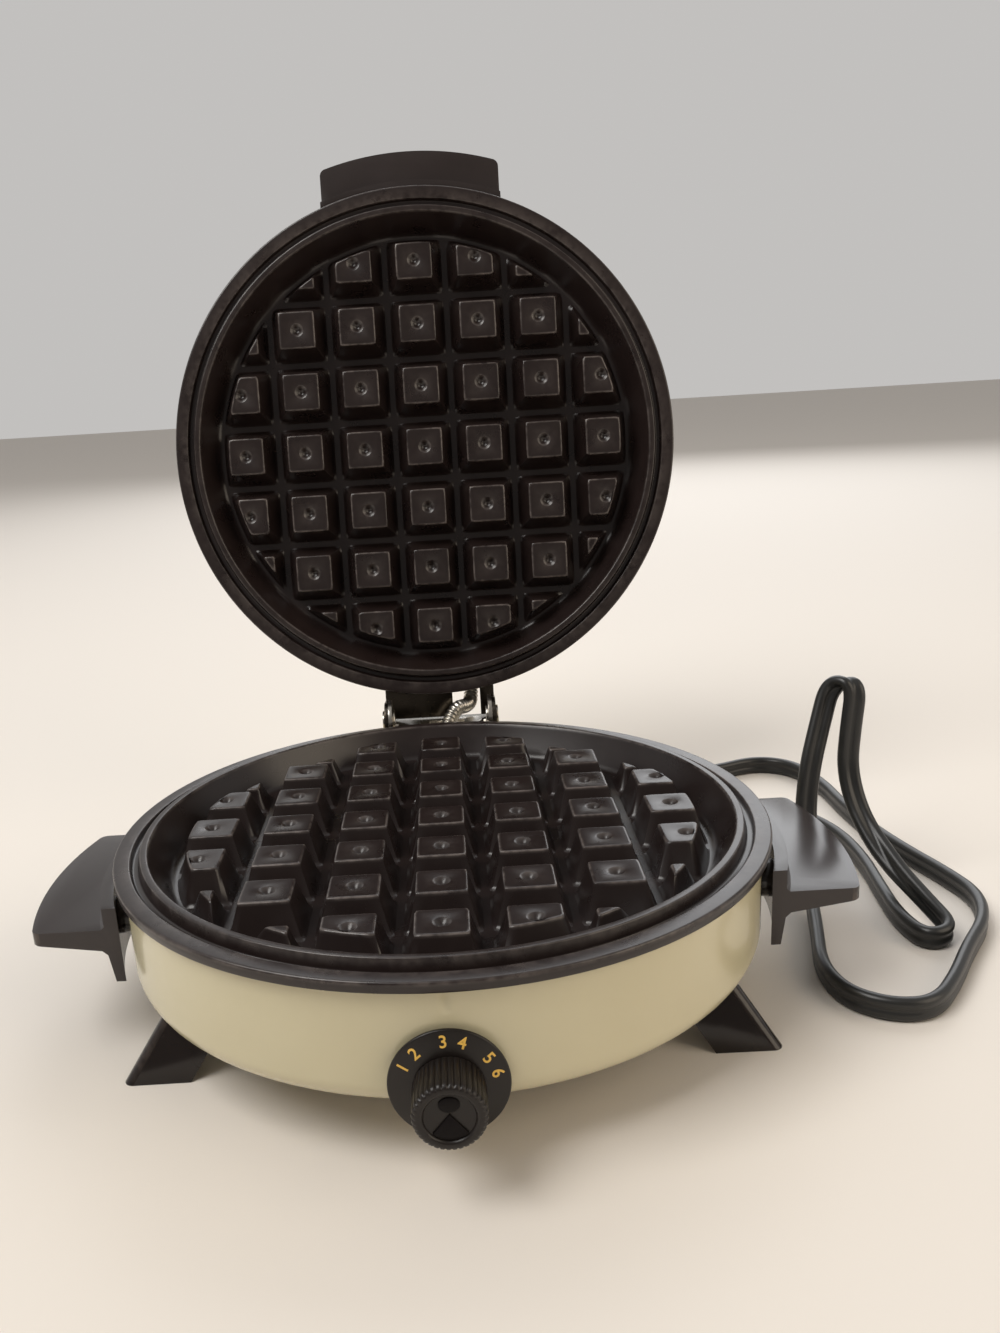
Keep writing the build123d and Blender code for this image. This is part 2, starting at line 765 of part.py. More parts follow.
def plug_body():
    """Moulded two-blade plug, narrow at the cord and waisted for the fingers."""
    frame = plug_frame()
    neck = frame * RectangleRounded(10, 8, 3)
    waist = frame.offset(plug_length * 0.45) * RectangleRounded(plug_width - 5, plug_height - 2, 3.5)
    shoulder = frame.offset(plug_length * 0.7) * RectangleRounded(plug_width, plug_height, 3.5)
    face = frame.offset(plug_length) * RectangleRounded(plug_width, plug_height, 3.5)
    return loft([neck, waist, shoulder]) + loft([shoulder, face], ruled=True)


def plug_blades():
    frame = plug_frame().offset(plug_length)
    blades = []
    for side in (-1, 1):
        outline = Pos(side * blade_spacing / 2, 0) * Rectangle(blade_thickness, blade_width)
        blades.append(extrude(frame * outline, blade_length))
    return group(blades)


# The conduit's route from the base shell up to the open lid
conduit_route = [
    (0.5, shell_radius - 1.5, post_top_height - 17.0),
    (0.5, hinge_y - 4.0, post_top_height - 16.5),
    (3.0, hinge_y + 0.8, post_top_height - 5.0),
    (7.0, hinge_y + 5.0, post_top_height + 1.0),
    (11.5, hinge_y + 11.2, post_top_height - 0.6),
    (14.0, hinge_y + 20.14, post_top_height + 0.1),
    (14.0, hinge_y + 22.2, post_top_height + 11.9),
]
conduit_line = FilletPolyline(*conduit_route, radius=corner_radii(conduit_route))


def conduit_frame(place):
    """Section plane at a distance along the conduit, on a steady X axis."""
    share = place / conduit_line.length
    ahead = conduit_line % share
    return Plane(origin=conduit_line @ share, x_dir=Vector(1, 0, 0) - ahead * ahead.X, z_dir=ahead)


def conduit_wall(stations):
    """Side faces of a ruled loft through circles at (place, radius) stations."""
    tube = loft([conduit_frame(place) * Circle(radius) for place, radius in stations], ruled=True)
    return [face for face in tube.faces() if face.geom_type != GeomType.PLANE]


def conduit():
    """Wound steel conduit with its ribs and its open bore, closed by a ring at each end."""
    length = conduit_line.length
    pitch = (length - 2 * conduit_tail) / conduit_ribs
    valley = conduit_radius - conduit_rib
    ribs = [(0.0, valley), (conduit_straight, valley)]
    for rib in range(conduit_ribs):
        start = conduit_tail + rib * pitch
        ribs += [(start, valley), (start + 0.2 * pitch, conduit_radius)]
        ribs += [(start + 0.6 * pitch, conduit_radius), (start + 0.8 * pitch, valley)]
    ribs += [(length - conduit_straight, valley), (length, valley)]
    bore = [(length * step / conduit_ribs, conduit_bore) for step in range(conduit_ribs + 1)]
    rings = [conduit_frame(place) * (Circle(valley) - Circle(conduit_bore)) for place in (0.0, length)]
    ends = [face for ring in rings for face in ring.faces()]
    return Solid(Shell(conduit_wall(ribs) + conduit_wall(bore) + ends))


def collar(origin, direction, length):
    """Flanged ferrule round an end of the conduit."""
    ferrule = along(origin, direction, conduit_radius + ferrule_wall, length)
    return ferrule - along(origin, direction, conduit_radius - conduit_rib + ferrule_clearance, length)


def open_lid(solid):
    """Swing a lid piece from shut to open about the hinge."""
    axis = Axis((0, hinge_y, hinge_z), (1, 0, 0))
    return solid.rotate(axis, -open_angle)


def on_base(solid):
    return Pos(0, 0, post_top_height) * solid


def on_lid(solid):
    """Turn a plate-side piece over onto the shut lid, then swing it open."""
    return open_lid(Pos(0, 0, lid_plane) * Rot(0, 180, 0) * solid)


ferrule_radius = conduit_radius + ferrule_wall
base_hole = along(conduit_line @ 0 - (conduit_line % 0) * 4, conduit_line % 0, ferrule_radius, 8)
lid_hole = along(conduit_line @ 1 - (conduit_line % 1) * 12, conduit_line % 1, ferrule_radius, 14)

nodes = {}
cord_nodes = ("strain_relief", "cord", "plug_body", "plug_blades")

tie_low = -shell_depth - lid_crown - 4
tie_drills = [
    along(polar(tie_circle, angle, tie_low), (0, 0, 1), screw_radius + screw_clearance, 8 + lid_crown)
    for angle in tie_angles
]


def tie_screws(seat):
    screws = []
    for angle in tie_angles:
        shank = along(polar(tie_circle, angle, -seat), (0, 0, 1), screw_radius, seat - shell_inside + 10)
        head = along(polar(tie_circle, angle, -seat), (0, 0, -1), head_radius, head_height)
        screws.append(shank + head)
    return group(screws)


# Base
base_handles = {"left": 180.0, "right": 0.0}
base_cuts = [Rot(0, 0, angle) * hole for angle in base_handles.values() for hole in handle_holes()]
base_form = on_base(Rot(180, 0, 0) * drawn_shell(0) - base_cuts - tie_drills)
base_form -= disc(bottom_opening, 0, post_top_height - shell_depth + 5)
base_form -= bracket_drills(inner_radius - 3, 9)
base_form -= along((0, -shell_radius - 5, dial_height), (0, 1, 0), 6.0, 12)
for angle in foot_angles.values():
    place = polar(foot_screw_place(), angle, shell_bottom - 2)
    base_form -= along(place, (0, 0, 1), screw_radius + screw_clearance, 5)
base_form -= [
    along(polar(bottom_opening + cover_lap - 3, angle + 22.5, 0), (0, 0, 1), cover_screw_radius, 40)
    for angle in tie_angles
]
base_form -= Pos(0, -shell_radius - 0.9, post_top_height - index_drop) * Sphere(1.5)
nodes["base_shell"] = base_form - relief_hole() - base_hole
nodes["bottom_cover"] = bottom_cover() - [
    along(polar(tie_circle, angle, 0), (0, 0, 1), head_radius + 0.3, 40) for angle in tie_angles
]
nodes["cover_screws"] = cover_screws()
nodes["lower_grid_plate"] = on_base(drilled_plate())
nodes["base_tie_screws"] = on_base(tie_screws(shell_depth))
nodes["lower_heating_element"] = on_base(heating_element())
nodes["lower_element_clips"] = on_base(element_clips())
nodes["lower_reflector"] = on_base(reflector(True))
nodes["lower_insulators"] = on_base(insulators())
nodes["thermostat_bracket"] = thermostat_bracket()
nodes["thermostat_body"] = thermostat_body()
nodes["bimetal_blade"] = bimetal_blade()
nodes["thermostat_bushing"] = thermostat_bushing()
for name, angle in foot_angles.items():
    nodes[name + "_foot"] = Rot(0, 0, angle) * foot()
nodes["foot_screws"] = group([Rot(0, 0, angle) * foot_screw() for angle in foot_angles.values()])
for name, angle in base_handles.items():
    nodes[name + "_handle"] = on_base(Rot(0, 0, angle) * handle(handle_reach))
    nodes[name + "_handle_spacers"] = on_base(Rot(0, 0, angle) * handle_spacers())
nodes["base_handle_screws"] = group([
    on_base(Rot(0, 0, angle) * handle_screws()) for angle in base_handles.values()
])
nodes["hinge_base_bracket"] = hinge_base_bracket()
nodes["base_bracket_screws"] = bracket_screws()
nodes["hinge_pins"] = hinge_pins()

# Dial
nodes["thermostat_spindle"] = spindle()
nodes["dial_skirt"] = to_dial(dial_skirt(), dial_start())
nodes["dial_knob"] = to_dial(dial_knob(), dial_start())

# Lid
front = Rot(0, 0, -90)
lid_form = drawn_shell(lid_crown) - [Rot(180, 0, 0) * hole for hole in tie_drills]
lid_form = Pos(0, 0, lid_plane) * lid_form
lid_form -= [Pos(0, 0, lid_plane) * front * Rot(180, 0, 0) * hole for hole in handle_holes()]
lid_form -= lid_bracket_drills(inner_radius - 3, 9)
nodes["lid_shell"] = open_lid(lid_form) - lid_hole
nodes["upper_grid_plate"] = on_lid(drilled_plate())
nodes["lid_tie_screws"] = on_lid(tie_screws(shell_depth + 1.4))
nodes["upper_heating_element"] = on_lid(heating_element())
nodes["upper_element_clips"] = on_lid(element_clips())
nodes["upper_reflector"] = on_lid(reflector(False))
nodes["upper_insulators"] = on_lid(insulators())
nodes["lid_handle"] = on_lid(front * handle(lid_handle_reach))
nodes["lid_handle_spacers"] = on_lid(front * handle_spacers())
nodes["lid_handle_screws"] = on_lid(front * handle_screws())
nodes["hinge_lid_bracket"] = open_lid(hinge_lid_bracket()) - lid_hole
nodes["lid_bracket_screws"] = open_lid(lid_bracket_screws())

# Conduit and cord
nodes["conduit"] = conduit()
nodes["conduit_base_bushing"] = collar(conduit_line @ 0 - (conduit_line % 0) * 2, conduit_line % 0, 5)
nodes["conduit_lid_bushing"] = collar(conduit_line @ 1 + (conduit_line % 1) * 2, -(conduit_line % 1), 7)
nodes["strain_relief"] = strain_relief()
nodes["cord"] = cord()
nodes["plug_body"] = plug_body()
nodes["plug_blades"] = plug_blades()

# The origin is the middle of the object's footprint, lid open, at table level
solids = [shape for name, shape in nodes.items() if name not in cord_nodes]
box = group(solids).bounding_box()
shift = Vector(-box.center().X, -box.center().Y, -box.min.Z)
print("shift", [round(value, 4) for value in shift])
print("size", [round(value, 2) for value in box.size])
print("hinge", [round(value, 4) for value in Vector(0, hinge_y, hinge_z) + shift])
print("dial", [round(value, 4) for value in Vector(0, -dial_start(), dial_height) + shift])

os.makedirs("parts", exist_ok=True)
for name, shape in nodes.items():
    moved = [Pos(*shift) * solid for solid in shape.solids()]
    export_step(moved[0] if len(moved) == 1 else Compound(moved), f"parts/{name}.step")
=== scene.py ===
import json
import math

import bmesh
import bpy
from mathutils import Matrix, Vector


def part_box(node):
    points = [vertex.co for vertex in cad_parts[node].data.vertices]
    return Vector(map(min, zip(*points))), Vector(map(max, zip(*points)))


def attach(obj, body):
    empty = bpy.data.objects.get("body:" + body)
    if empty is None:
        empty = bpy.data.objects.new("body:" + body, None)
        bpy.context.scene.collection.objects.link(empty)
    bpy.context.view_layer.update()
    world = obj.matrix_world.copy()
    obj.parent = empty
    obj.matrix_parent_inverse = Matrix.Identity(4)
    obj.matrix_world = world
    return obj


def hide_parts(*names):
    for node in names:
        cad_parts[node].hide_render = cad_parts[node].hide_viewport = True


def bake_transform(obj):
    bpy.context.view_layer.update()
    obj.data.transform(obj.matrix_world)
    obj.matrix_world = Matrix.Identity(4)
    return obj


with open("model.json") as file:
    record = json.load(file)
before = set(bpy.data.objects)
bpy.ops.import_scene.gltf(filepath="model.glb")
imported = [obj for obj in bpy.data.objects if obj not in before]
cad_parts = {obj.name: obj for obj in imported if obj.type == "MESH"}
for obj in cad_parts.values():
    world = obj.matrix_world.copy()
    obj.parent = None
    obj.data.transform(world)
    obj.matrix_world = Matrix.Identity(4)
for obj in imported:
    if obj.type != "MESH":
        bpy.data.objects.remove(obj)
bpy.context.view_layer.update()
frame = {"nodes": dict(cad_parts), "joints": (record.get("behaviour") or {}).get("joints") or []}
mm = 0.001

# Places from the frame, and three sizes of the CAD that it does not give
shellLow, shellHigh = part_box("base_shell")
baseY = (shellLow.y + shellHigh.y) / 2
postTop = 57.0 * mm
plateGap = 3.0 * mm         # between the facing posts when the lid is shut
openAngle = math.radians(99.85)
joints = {joint["name"]: joint for joint in frame["joints"]}
hinge = Vector(joints["lid_hinge"]["pos_m"])
dialCentre = Vector(joints["dial_turn"]["pos_m"])

basePlace = Matrix.Translation((0, baseY, postTop))
shutPlace = Matrix.Translation((0, baseY, postTop + plateGap)) @ Matrix.Rotation(math.pi, 4, "Y")
swing = Matrix.Translation(hinge) @ Matrix.Rotation(-openAngle, 4, "X") @ Matrix.Translation(-hinge)
lidPlace = swing @ shutPlace


# Camera
camera = {
    "place": (0.00743, -0.37834, 0.19436),
    "right": (0.9983, -0.0087, -0.0578),
    "down": (-0.0578, -0.2912, -0.9549),
    "sensor": 36,            # millimetres, the long side
    "lens": 30.117,
    "shift": (0.0386, 0.0368),
    "clip": (0.01, 20),
}


def addObject(name, data):
    thing = bpy.data.objects.new(name, data)
    bpy.context.scene.collection.objects.link(thing)
    return thing


def makeCamera(facts):
    right = Vector(facts["right"]).normalized()
    up = -Vector(facts["down"])
    up = (up - right * up.dot(right)).normalized()
    data = bpy.data.cameras.new("photoCamera")
    data.lens = facts["lens"]
    data.sensor_width = facts["sensor"]
    data.shift_x, data.shift_y = facts["shift"]
    data.clip_start, data.clip_end = facts["clip"]
    thing = addObject("photoCamera", data)
    turn = Matrix((right, up, right.cross(up))).transposed().to_4x4()
    thing.matrix_world = Matrix.Translation(facts["place"]) @ turn
    bpy.context.scene.camera = thing


makeCamera(camera)
print("camera ready")


# Shared shader groups
def newGroup(name, inputs, outputs):
    group = bpy.data.node_groups.new(name, "ShaderNodeTree")
    for label, value in inputs.items():
        socket = group.interface.new_socket(label, in_out="INPUT", socket_type="NodeSocketFloat")
        socket.default_value = value
    for label in outputs:
        group.interface.new_socket(label, in_out="OUTPUT", socket_type="NodeSocketFloat")
    return group, group.nodes.new("NodeGroupInput"), group.nodes.new("NodeGroupOutput")


def noiseOutput(nodes, links, place, scale, detail):
    noise = nodes.new("ShaderNodeTexNoise")
    noise.inputs["Detail"].default_value = detail
    links.new(place.outputs["Object"], noise.inputs["Vector"])
    links.new(scale, noise.inputs["Scale"])
    return noise.outputs["Fac"]


def productNode(nodes, links, first, second):
    node = nodes.new("ShaderNodeMath")
    node.operation = "MULTIPLY"
    links.new(first, node.inputs[0])
    links.new(second, node.inputs[1])
    return node


def colourMix(nodes, links, factor, first, second):
    # each of the two is a colour, or another node's output
    node = nodes.new("ShaderNodeMix")
    node.data_type = "RGBA"
    links.new(factor, node.inputs[0])
    for socket, colour in ((6, first), (7, second)):
        if isinstance(colour, tuple):
            node.inputs[socket].default_value = (*colour, 1)
        else:
            links.new(colour, node.inputs[socket])
    return node.outputs[2]


def grainGroup():
    # soft mottling and a finer tooth, both on Object coordinates
    scales = {"Mottle Scale": 60.0, "Tooth Scale": 900.0, "Tooth Share": 0.4}
    group, given, result = newGroup("surfaceGrain", scales, ("Mottle", "Height"))
    nodes, links = group.nodes, group.links
    place = nodes.new("ShaderNodeTexCoord")
    mottle = noiseOutput(nodes, links, place, given.outputs["Mottle Scale"], 5)
    tooth = noiseOutput(nodes, links, place, given.outputs["Tooth Scale"], 3)
    blend = nodes.new("ShaderNodeMix")
    links.new(given.outputs["Tooth Share"], blend.inputs[0])
    links.new(mottle, blend.inputs[2])
    links.new(tooth, blend.inputs[3])
    links.new(mottle, result.inputs["Mottle"])
    links.new(blend.outputs[0], result.inputs["Height"])
    return group


def wearGroup():
    # worn edges: the mesh's own wear attribute, broken up by noise
    scales = {"Breakup Scale": 420.0, "Amount": 0.7, "Scuff Scale": 90.0}
    group, given, result = newGroup("wornEdges", scales, ("Mask",))
    nodes, links = group.nodes, group.links
    place = nodes.new("ShaderNodeTexCoord")
    wear = nodes.new("ShaderNodeAttribute")
    wear.attribute_name = "wear"
    fine = noiseOutput(nodes, links, place, given.outputs["Breakup Scale"], 4)
    broad = noiseOutput(nodes, links, place, given.outputs["Scuff Scale"], 2)
    sharpen = nodes.new("ShaderNodeMapRange")
    sharpen.inputs["From Min"].default_value = 0.14
    sharpen.inputs["From Max"].default_value = 0.34
    links.new(productNode(nodes, links, fine, broad).outputs[0], sharpen.inputs["Value"])
    worn = productNode(nodes, links, wear.outputs["Fac"], sharpen.outputs["Result"])
    share = productNode(nodes, links, worn.outputs[0], given.outputs["Amount"])
    share.use_clamp = True
    links.new(share.outputs[0], result.inputs["Mask"])
    return group


grain = grainGroup()
wornEdges = wearGroup()


# what a finish has where its own row doesn't say
plainFinish = {
    "metal": 0.0, "coat": 0.0, "coatRough": 0.1, "specular": 0.5, "mottle": 60.0, "tooth": 900.0,
    "bump": 0.15, "bumpDepth": 0.05, "wornAmount": 0.8,
}


def makeFinish(name, given):
    # one material: two tints mottled together, worn edges, tooth in the bump
    facts = {**plainFinish, **given}
    material = bpy.data.materials.new(name)
    material.use_nodes = True
    nodes, links = material.node_tree.nodes, material.node_tree.links
    shader = nodes["Principled BSDF"]
    shader.inputs["Metallic"].default_value = facts["metal"]
    shader.inputs["Coat Weight"].default_value = facts["coat"]
    shader.inputs["Coat Roughness"].default_value = facts["coatRough"]
    shader.inputs["Specular IOR Level"].default_value = facts["specular"]
    mottle = nodes.new("ShaderNodeGroup")
    mottle.node_tree = grain
    mottle.inputs["Mottle Scale"].default_value = facts["mottle"]
    mottle.inputs["Tooth Scale"].default_value = facts["tooth"]
    colour = colourMix(nodes, links, mottle.outputs["Mottle"], facts["dark"], facts["light"])
    rough = nodes.new("ShaderNodeMapRange")
    rough.inputs["To Min"].default_value, rough.inputs["To Max"].default_value = facts["rough"]
    links.new(mottle.outputs["Mottle"], rough.inputs["Value"])
    if "worn" in facts:
        edge = nodes.new("ShaderNodeGroup")
        edge.node_tree = wornEdges
        edge.inputs["Amount"].default_value = facts["wornAmount"]
        colour = colourMix(nodes, links, edge.outputs["Mask"], colour, facts["worn"])
    bump = nodes.new("ShaderNodeBump")
    bump.inputs["Strength"].default_value = facts["bump"]
    bump.inputs["Distance"].default_value = facts["bumpDepth"] * mm
    links.new(mottle.outputs["Height"], bump.inputs["Height"])
    links.new(colour, shader.inputs["Base Color"])
    links.new(rough.outputs["Result"], shader.inputs["Roughness"])
    links.new(bump.outputs["Normal"], shader.inputs["Normal"])
    return material


finishes = {
    "enamel": {
        "dark": (0.57, 0.51, 0.33), "light": (0.64, 0.585, 0.40), "rough": (0.20, 0.30),
        "mottle": 25, "tooth": 350, "bump": 0.10, "bumpDepth": 0.04, "coat": 0.4, "coatRough": 0.08},
    "nonstick": {
        "dark": (0.010, 0.006, 0.0055), "light": (0.021, 0.0135, 0.012), "rough": (0.22, 0.36),
        "mottle": 80, "tooth": 1500, "bump": 0.30, "worn": (0.19, 0.16, 0.145), "wornAmount": 0.6},
    "phenolicBrown": {
        "dark": (0.020, 0.015, 0.014), "light": (0.033, 0.025, 0.024), "rough": (0.16, 0.26),
        "mottle": 45, "tooth": 1200, "bump": 0.12, "bumpDepth": 0.03,
        "worn": (0.10, 0.075, 0.06), "wornAmount": 0.45},
    "phenolicBlack": {
        "dark": (0.010, 0.007, 0.006), "light": (0.018, 0.013, 0.011), "rough": (0.08, 0.17),
        "mottle": 40, "bump": 0.08, "bumpDepth": 0.03, "coat": 0.1, "specular": 0.35,
        "worn": (0.09, 0.07, 0.06), "wornAmount": 0.3},
    "zincSteel": {
        "dark": (0.42, 0.42, 0.40), "light": (0.62, 0.61, 0.58), "rough": (0.28, 0.45),
        "mottle": 200, "tooth": 2000, "metal": 1.0, "bump": 0.1},
    "nickelPlate": {
        "dark": (0.50, 0.47, 0.42), "light": (0.72, 0.70, 0.65), "rough": (0.12, 0.30),
        "mottle": 130, "tooth": 1800, "metal": 1.0, "bump": 0.08,
        "worn": (0.30, 0.24, 0.18), "wornAmount": 0.4},
    # nickel plate with a dark colour: painted reflection of the lid's dark underside on the hinge web
    "nickelPaintedReflection": {
        "dark": (0.045, 0.036, 0.028), "light": (0.10, 0.085, 0.065), "rough": (0.18, 0.34),
        "mottle": 110, "tooth": 1800, "metal": 1.0, "bump": 0.08,
        "worn": (0.34, 0.31, 0.27), "wornAmount": 0.5},
    "dialBlack": {
        "dark": (0.009, 0.007, 0.006), "light": (0.016, 0.012, 0.010), "rough": (0.26, 0.38),
        "tooth": 1200, "bump": 0.08, "bumpDepth": 0.03, "specular": 0.35},
    # near black and dull: painted shade on the fan and pad of the knob's face
    "dialFacePaintedShade": {
        "dark": (0.004, 0.003, 0.003), "light": (0.008, 0.006, 0.006), "rough": (0.42, 0.55),
        "tooth": 1200, "bump": 0.08, "specular": 0.12},
    "conduitSteel": {
        "dark": (0.38, 0.35, 0.30), "light": (0.66, 0.63, 0.57), "rough": (0.20, 0.38),
        "mottle": 300, "tooth": 2400, "metal": 1.0, "bump": 0.1},
    "elementSteel": {
        "dark": (0.09, 0.08, 0.075), "light": (0.16, 0.15, 0.14), "rough": (0.35, 0.55),
        "mottle": 120, "tooth": 1500, "metal": 1.0, "bump": 0.1},
    "springSteel": {
        "dark": (0.30, 0.29, 0.27), "light": (0.48, 0.46, 0.43), "rough": (0.25, 0.4),
        "mottle": 120, "tooth": 1500, "metal": 1.0, "bump": 0.1},
    "brightAluminium": {
        "dark": (0.72, 0.72, 0.71), "light": (0.84, 0.84, 0.83), "rough": (0.15, 0.32),
        "mottle": 40, "metal": 1.0, "bump": 0.1},
    "ceramic": {
        "dark": (0.70, 0.67, 0.60), "light": (0.80, 0.77, 0.70), "rough": (0.45, 0.6),
        "mottle": 150, "tooth": 1500},
    "brassPlain": {
        "dark": (0.58, 0.42, 0.17), "light": (0.78, 0.60, 0.28), "rough": (0.18, 0.32),
        "mottle": 150, "tooth": 1500, "metal": 1.0, "bump": 0.08},
    "cordRubber": {
        "dark": (0.010, 0.010, 0.010), "light": (0.020, 0.020, 0.019), "rough": (0.30, 0.42),
        "mottle": 120, "tooth": 1500, "bumpDepth": 0.03},
    "dialGold": {
        "dark": (0.72, 0.42, 0.06), "light": (0.86, 0.55, 0.12), "rough": (0.35, 0.5),
        "mottle": 500, "tooth": 2500, "bump": 0.1},
}
materials = {name: makeFinish(name, facts) for name, facts in finishes.items()}
print("materials ready")


# Helpers
def sharpenEdges(mesh, degrees):
    for face in mesh.polygons:
        face.use_smooth = True
    mesh.set_sharp_from_angle(angle=math.radians(degrees))


def addPiece(name, mesh, finish, body, nodes=(), sharp=40):
    # sharp is the angle, in degrees, from which an edge is shown as an edge
    sharpenEdges(mesh, sharp)
    mesh.materials.clear()
    mesh.materials.append(materials[finish])
    piece = addObject(name, mesh)
    if body:
        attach(piece, body)
    if nodes:
        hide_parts(*nodes)
    return piece


def bakeMesh(thing, name):
    # the evaluated object as a plain mesh, and the helper object removed
    graph = bpy.context.evaluated_depsgraph_get()
    mesh = bpy.data.meshes.new_from_object(thing.evaluated_get(graph), depsgraph=graph)
    mesh.name = name
    bpy.data.objects.remove(thing)
    return mesh


def finishMesh(name, bm):
    bmesh.ops.recalc_face_normals(bm, faces=bm.faces)
    mesh = bpy.data.meshes.new(name)
    bm.to_mesh(mesh)
    bm.free()
    return mesh


def bridgeRings(bm, rings):
    # quads from each ring of vertices to the next
    for lower, upper in zip(rings, rings[1:]):
        count = len(lower)
        for step in range(count):
            after = (step + 1) % count
            bm.faces.new((lower[step], lower[after], upper[after], upper[step]))


def closedSweep(name, bm, rings):
    bridgeRings(bm, rings)
    bm.faces.new(rings[0])
    bm.faces.new(rings[-1])
    return finishMesh(name, bm)


def fineLine(name, points, samples):
    # an order-3 spline through its end points, as a list of places
    curve = bpy.data.curves.new(name, "CURVE")
    curve.dimensions = "3D"
    curve.resolution_u = samples
    spline = curve.splines.new("NURBS")
    spline.points.add(len(points) - 1)
    for point, place in zip(spline.points, points):
        point.co = (*(Vector(place) * mm + Vector((0, baseY, 0))), 1)
    spline.order_u = 3
    spline.use_endpoint_u = True
    return [vertex.co.copy() for vertex in bakeMesh(addObject(name, curve), name).vertices]


def inMetres(outline):
    return [(radius * mm, height * mm) for radius, height in outline]


def spinOutline(name, outline, steps=192):
    # closed outline of (radius, height) turned about Z, poles closed
    pole = 1e-7
    bm = bmesh.new()
    rings = []
    for radius, height in outline:
        if radius < pole:
            rings.append([bm.verts.new((0, 0, height))])
            continue
        ring = []
        for step in range(steps):
            turn = 2 * math.pi * step / steps
            ring.append(bm.verts.new((radius * math.cos(turn), radius * math.sin(turn), height)))
        rings.append(ring)
    for lower, upper in zip(rings, rings[1:] + rings[:1]):
        if len(lower) == 1 and len(upper) == 1:
            continue
        for step in range(steps):
            after = (step + 1) % steps
            if len(lower) == 1:
                bm.faces.new((lower[0], upper[after], upper[step]))
            elif len(upper) == 1:
                bm.faces.new((lower[step], lower[after], upper[0]))
            else:
                bm.faces.new((lower[step], lower[after], upper[after], upper[step]))
    return finishMesh(name, bm)


def roundedOutline(points, steps=4):
    # points of (radius, height, corner); each corner becomes a short arc
    longest = 0.49           # share of a side that an arc may take
    result = []
    count = len(points)
    for index, (radius, height, corner) in enumerate(points):
        here = Vector((radius, height))
        if corner <= 0:
            result.append(tuple(here))
            continue
        before = Vector(points[index - 1][:2]) - here
        after = Vector(points[(index + 1) % count][:2]) - here
        reach = min(corner, longest * before.length, longest * after.length)
        start, end = here + before.normalized() * reach, here + after.normalized() * reach
        for step in range(steps + 1):
            share = step / steps
            bow = start * (1 - share) ** 2 + here * 2 * share * (1 - share) + end * share ** 2
            result.append(tuple(bow))
    return result


edgeFacts = {
    "weld": 0.002,           # millimetres between points that are one
    "flat": 1.0,             # degrees up to which faces are one
    "corner": 28,            # degrees from which an edge is rounded
    "segments": 3, "sharp": 35,
    "narrow": 2.2,           # millimetres: a point among smaller faces is worn
}


def softened(name, node, finish, body, width):
    # a CAD solid with its edges rounded, standing for that solid
    bm = bmesh.new()
    bm.from_mesh(frame["nodes"][node].data)
    bmesh.ops.remove_doubles(bm, verts=bm.verts, dist=edgeFacts["weld"] * mm)
    flat = math.radians(edgeFacts["flat"])
    bmesh.ops.dissolve_limit(bm, angle_limit=flat, verts=bm.verts, edges=bm.edges)
    mesh = bpy.data.meshes.new(name)
    bm.to_mesh(mesh)
    bm.free()
    helper = addObject(name, mesh)
    rounding = helper.modifiers.new("edges", "BEVEL")
    rounding.width = width * mm
    rounding.segments = edgeFacts["segments"]
    rounding.limit_method = "ANGLE"
    rounding.angle_limit = math.radians(edgeFacts["corner"])
    rounding.harden_normals = False
    piece = addPiece(name, bakeMesh(helper, name), finish, body, (node,), edgeFacts["sharp"])
    markWear(piece.data)
    return piece


def markWear(mesh):
    # wear on narrow faces, which are the rounded edges
    areas = {}
    for face in mesh.polygons:
        for vertex in face.vertices:
            areas[vertex] = max(areas.get(vertex, 0.0), face.area)
    edge = mesh.attributes.new("wear", "FLOAT", "POINT")
    limit = (edgeFacts["narrow"] * mm) ** 2
    for index in range(len(mesh.vertices)):
        edge.data[index].value = 1.0 if areas.get(index, 1.0) < limit else 0.0


def joinMeshes(name, meshes):
    bm = bmesh.new()
    for mesh in meshes:
        bm.from_mesh(mesh)
    joined = bpy.data.meshes.new(name)
    bm.to_mesh(joined)
    bm.free()
    return joined


# Cord
cordFacts = {
    "width": 8.0, "thickness": 4.2, "seam": 1.35,
    "wrap": 122,             # degrees of a conductor's outline each side of its crown
    "samples": 14,           # along the spline, for each place of the route
    "closest": 0.2,          # millimetres between two points of the line
    # past the first third, the flat lead turns on edge between these heights, in millimetres
    "turnFrom": 9, "turnOver": 22,
    "exitRadius": 131.7, "exitAngle": 60.0, "height": 27.0,
    # places from the base's axis, in millimetres, from the sleeve to the plug
    "route": [
        (71.85, 124.45, 27), (82, 141, 20), (95, 153, 9), (109, 160, 4.5), (128, 164, 4), (151, 175, 4),
        (168, 165, 4), (173, 138, 4), (173, 112, 4), (175, 90, 4), (180, 64, 4), (187, 40, 4), (190, 22, 4),
        (184, 4, 4), (170, -14, 4), (158, -32, 4), (146, -46, 4), (133, -46, 4), (122, -37, 4), (120, -20, 4),
        (126, 2, 4), (131, 24, 5), (135, 42, 14), (136, 50, 30), (138, 53, 46), (143, 58, 62),
        (147.5, 62, 76), (155, 55, 78), (153, 54, 60), (152, 53, 44), (155, 45, 28), (161, 30, 16),
        (168, 12, 8), (171, -2, 4.5), (160, -6, 4), (157, 10, 4), (159, 32, 4), (162, 58, 4), (161, 84, 4),
        (153, 104, 4), (141, 114, 4.5), (129, 116.5, 6), (115, 113, 6),
    ],
}


def cordLine(facts):
    turn, radius = math.radians(facts["exitAngle"]), facts["exitRadius"]
    start = (radius * math.cos(turn), radius * math.sin(turn), facts["height"])
    line = fineLine("cordLine", [start] + facts["route"], facts["samples"])
    kept = line[:1]
    for place in line[1:]:
        if (place - kept[-1]).length > facts["closest"] * mm:
            kept.append(place)
    return kept


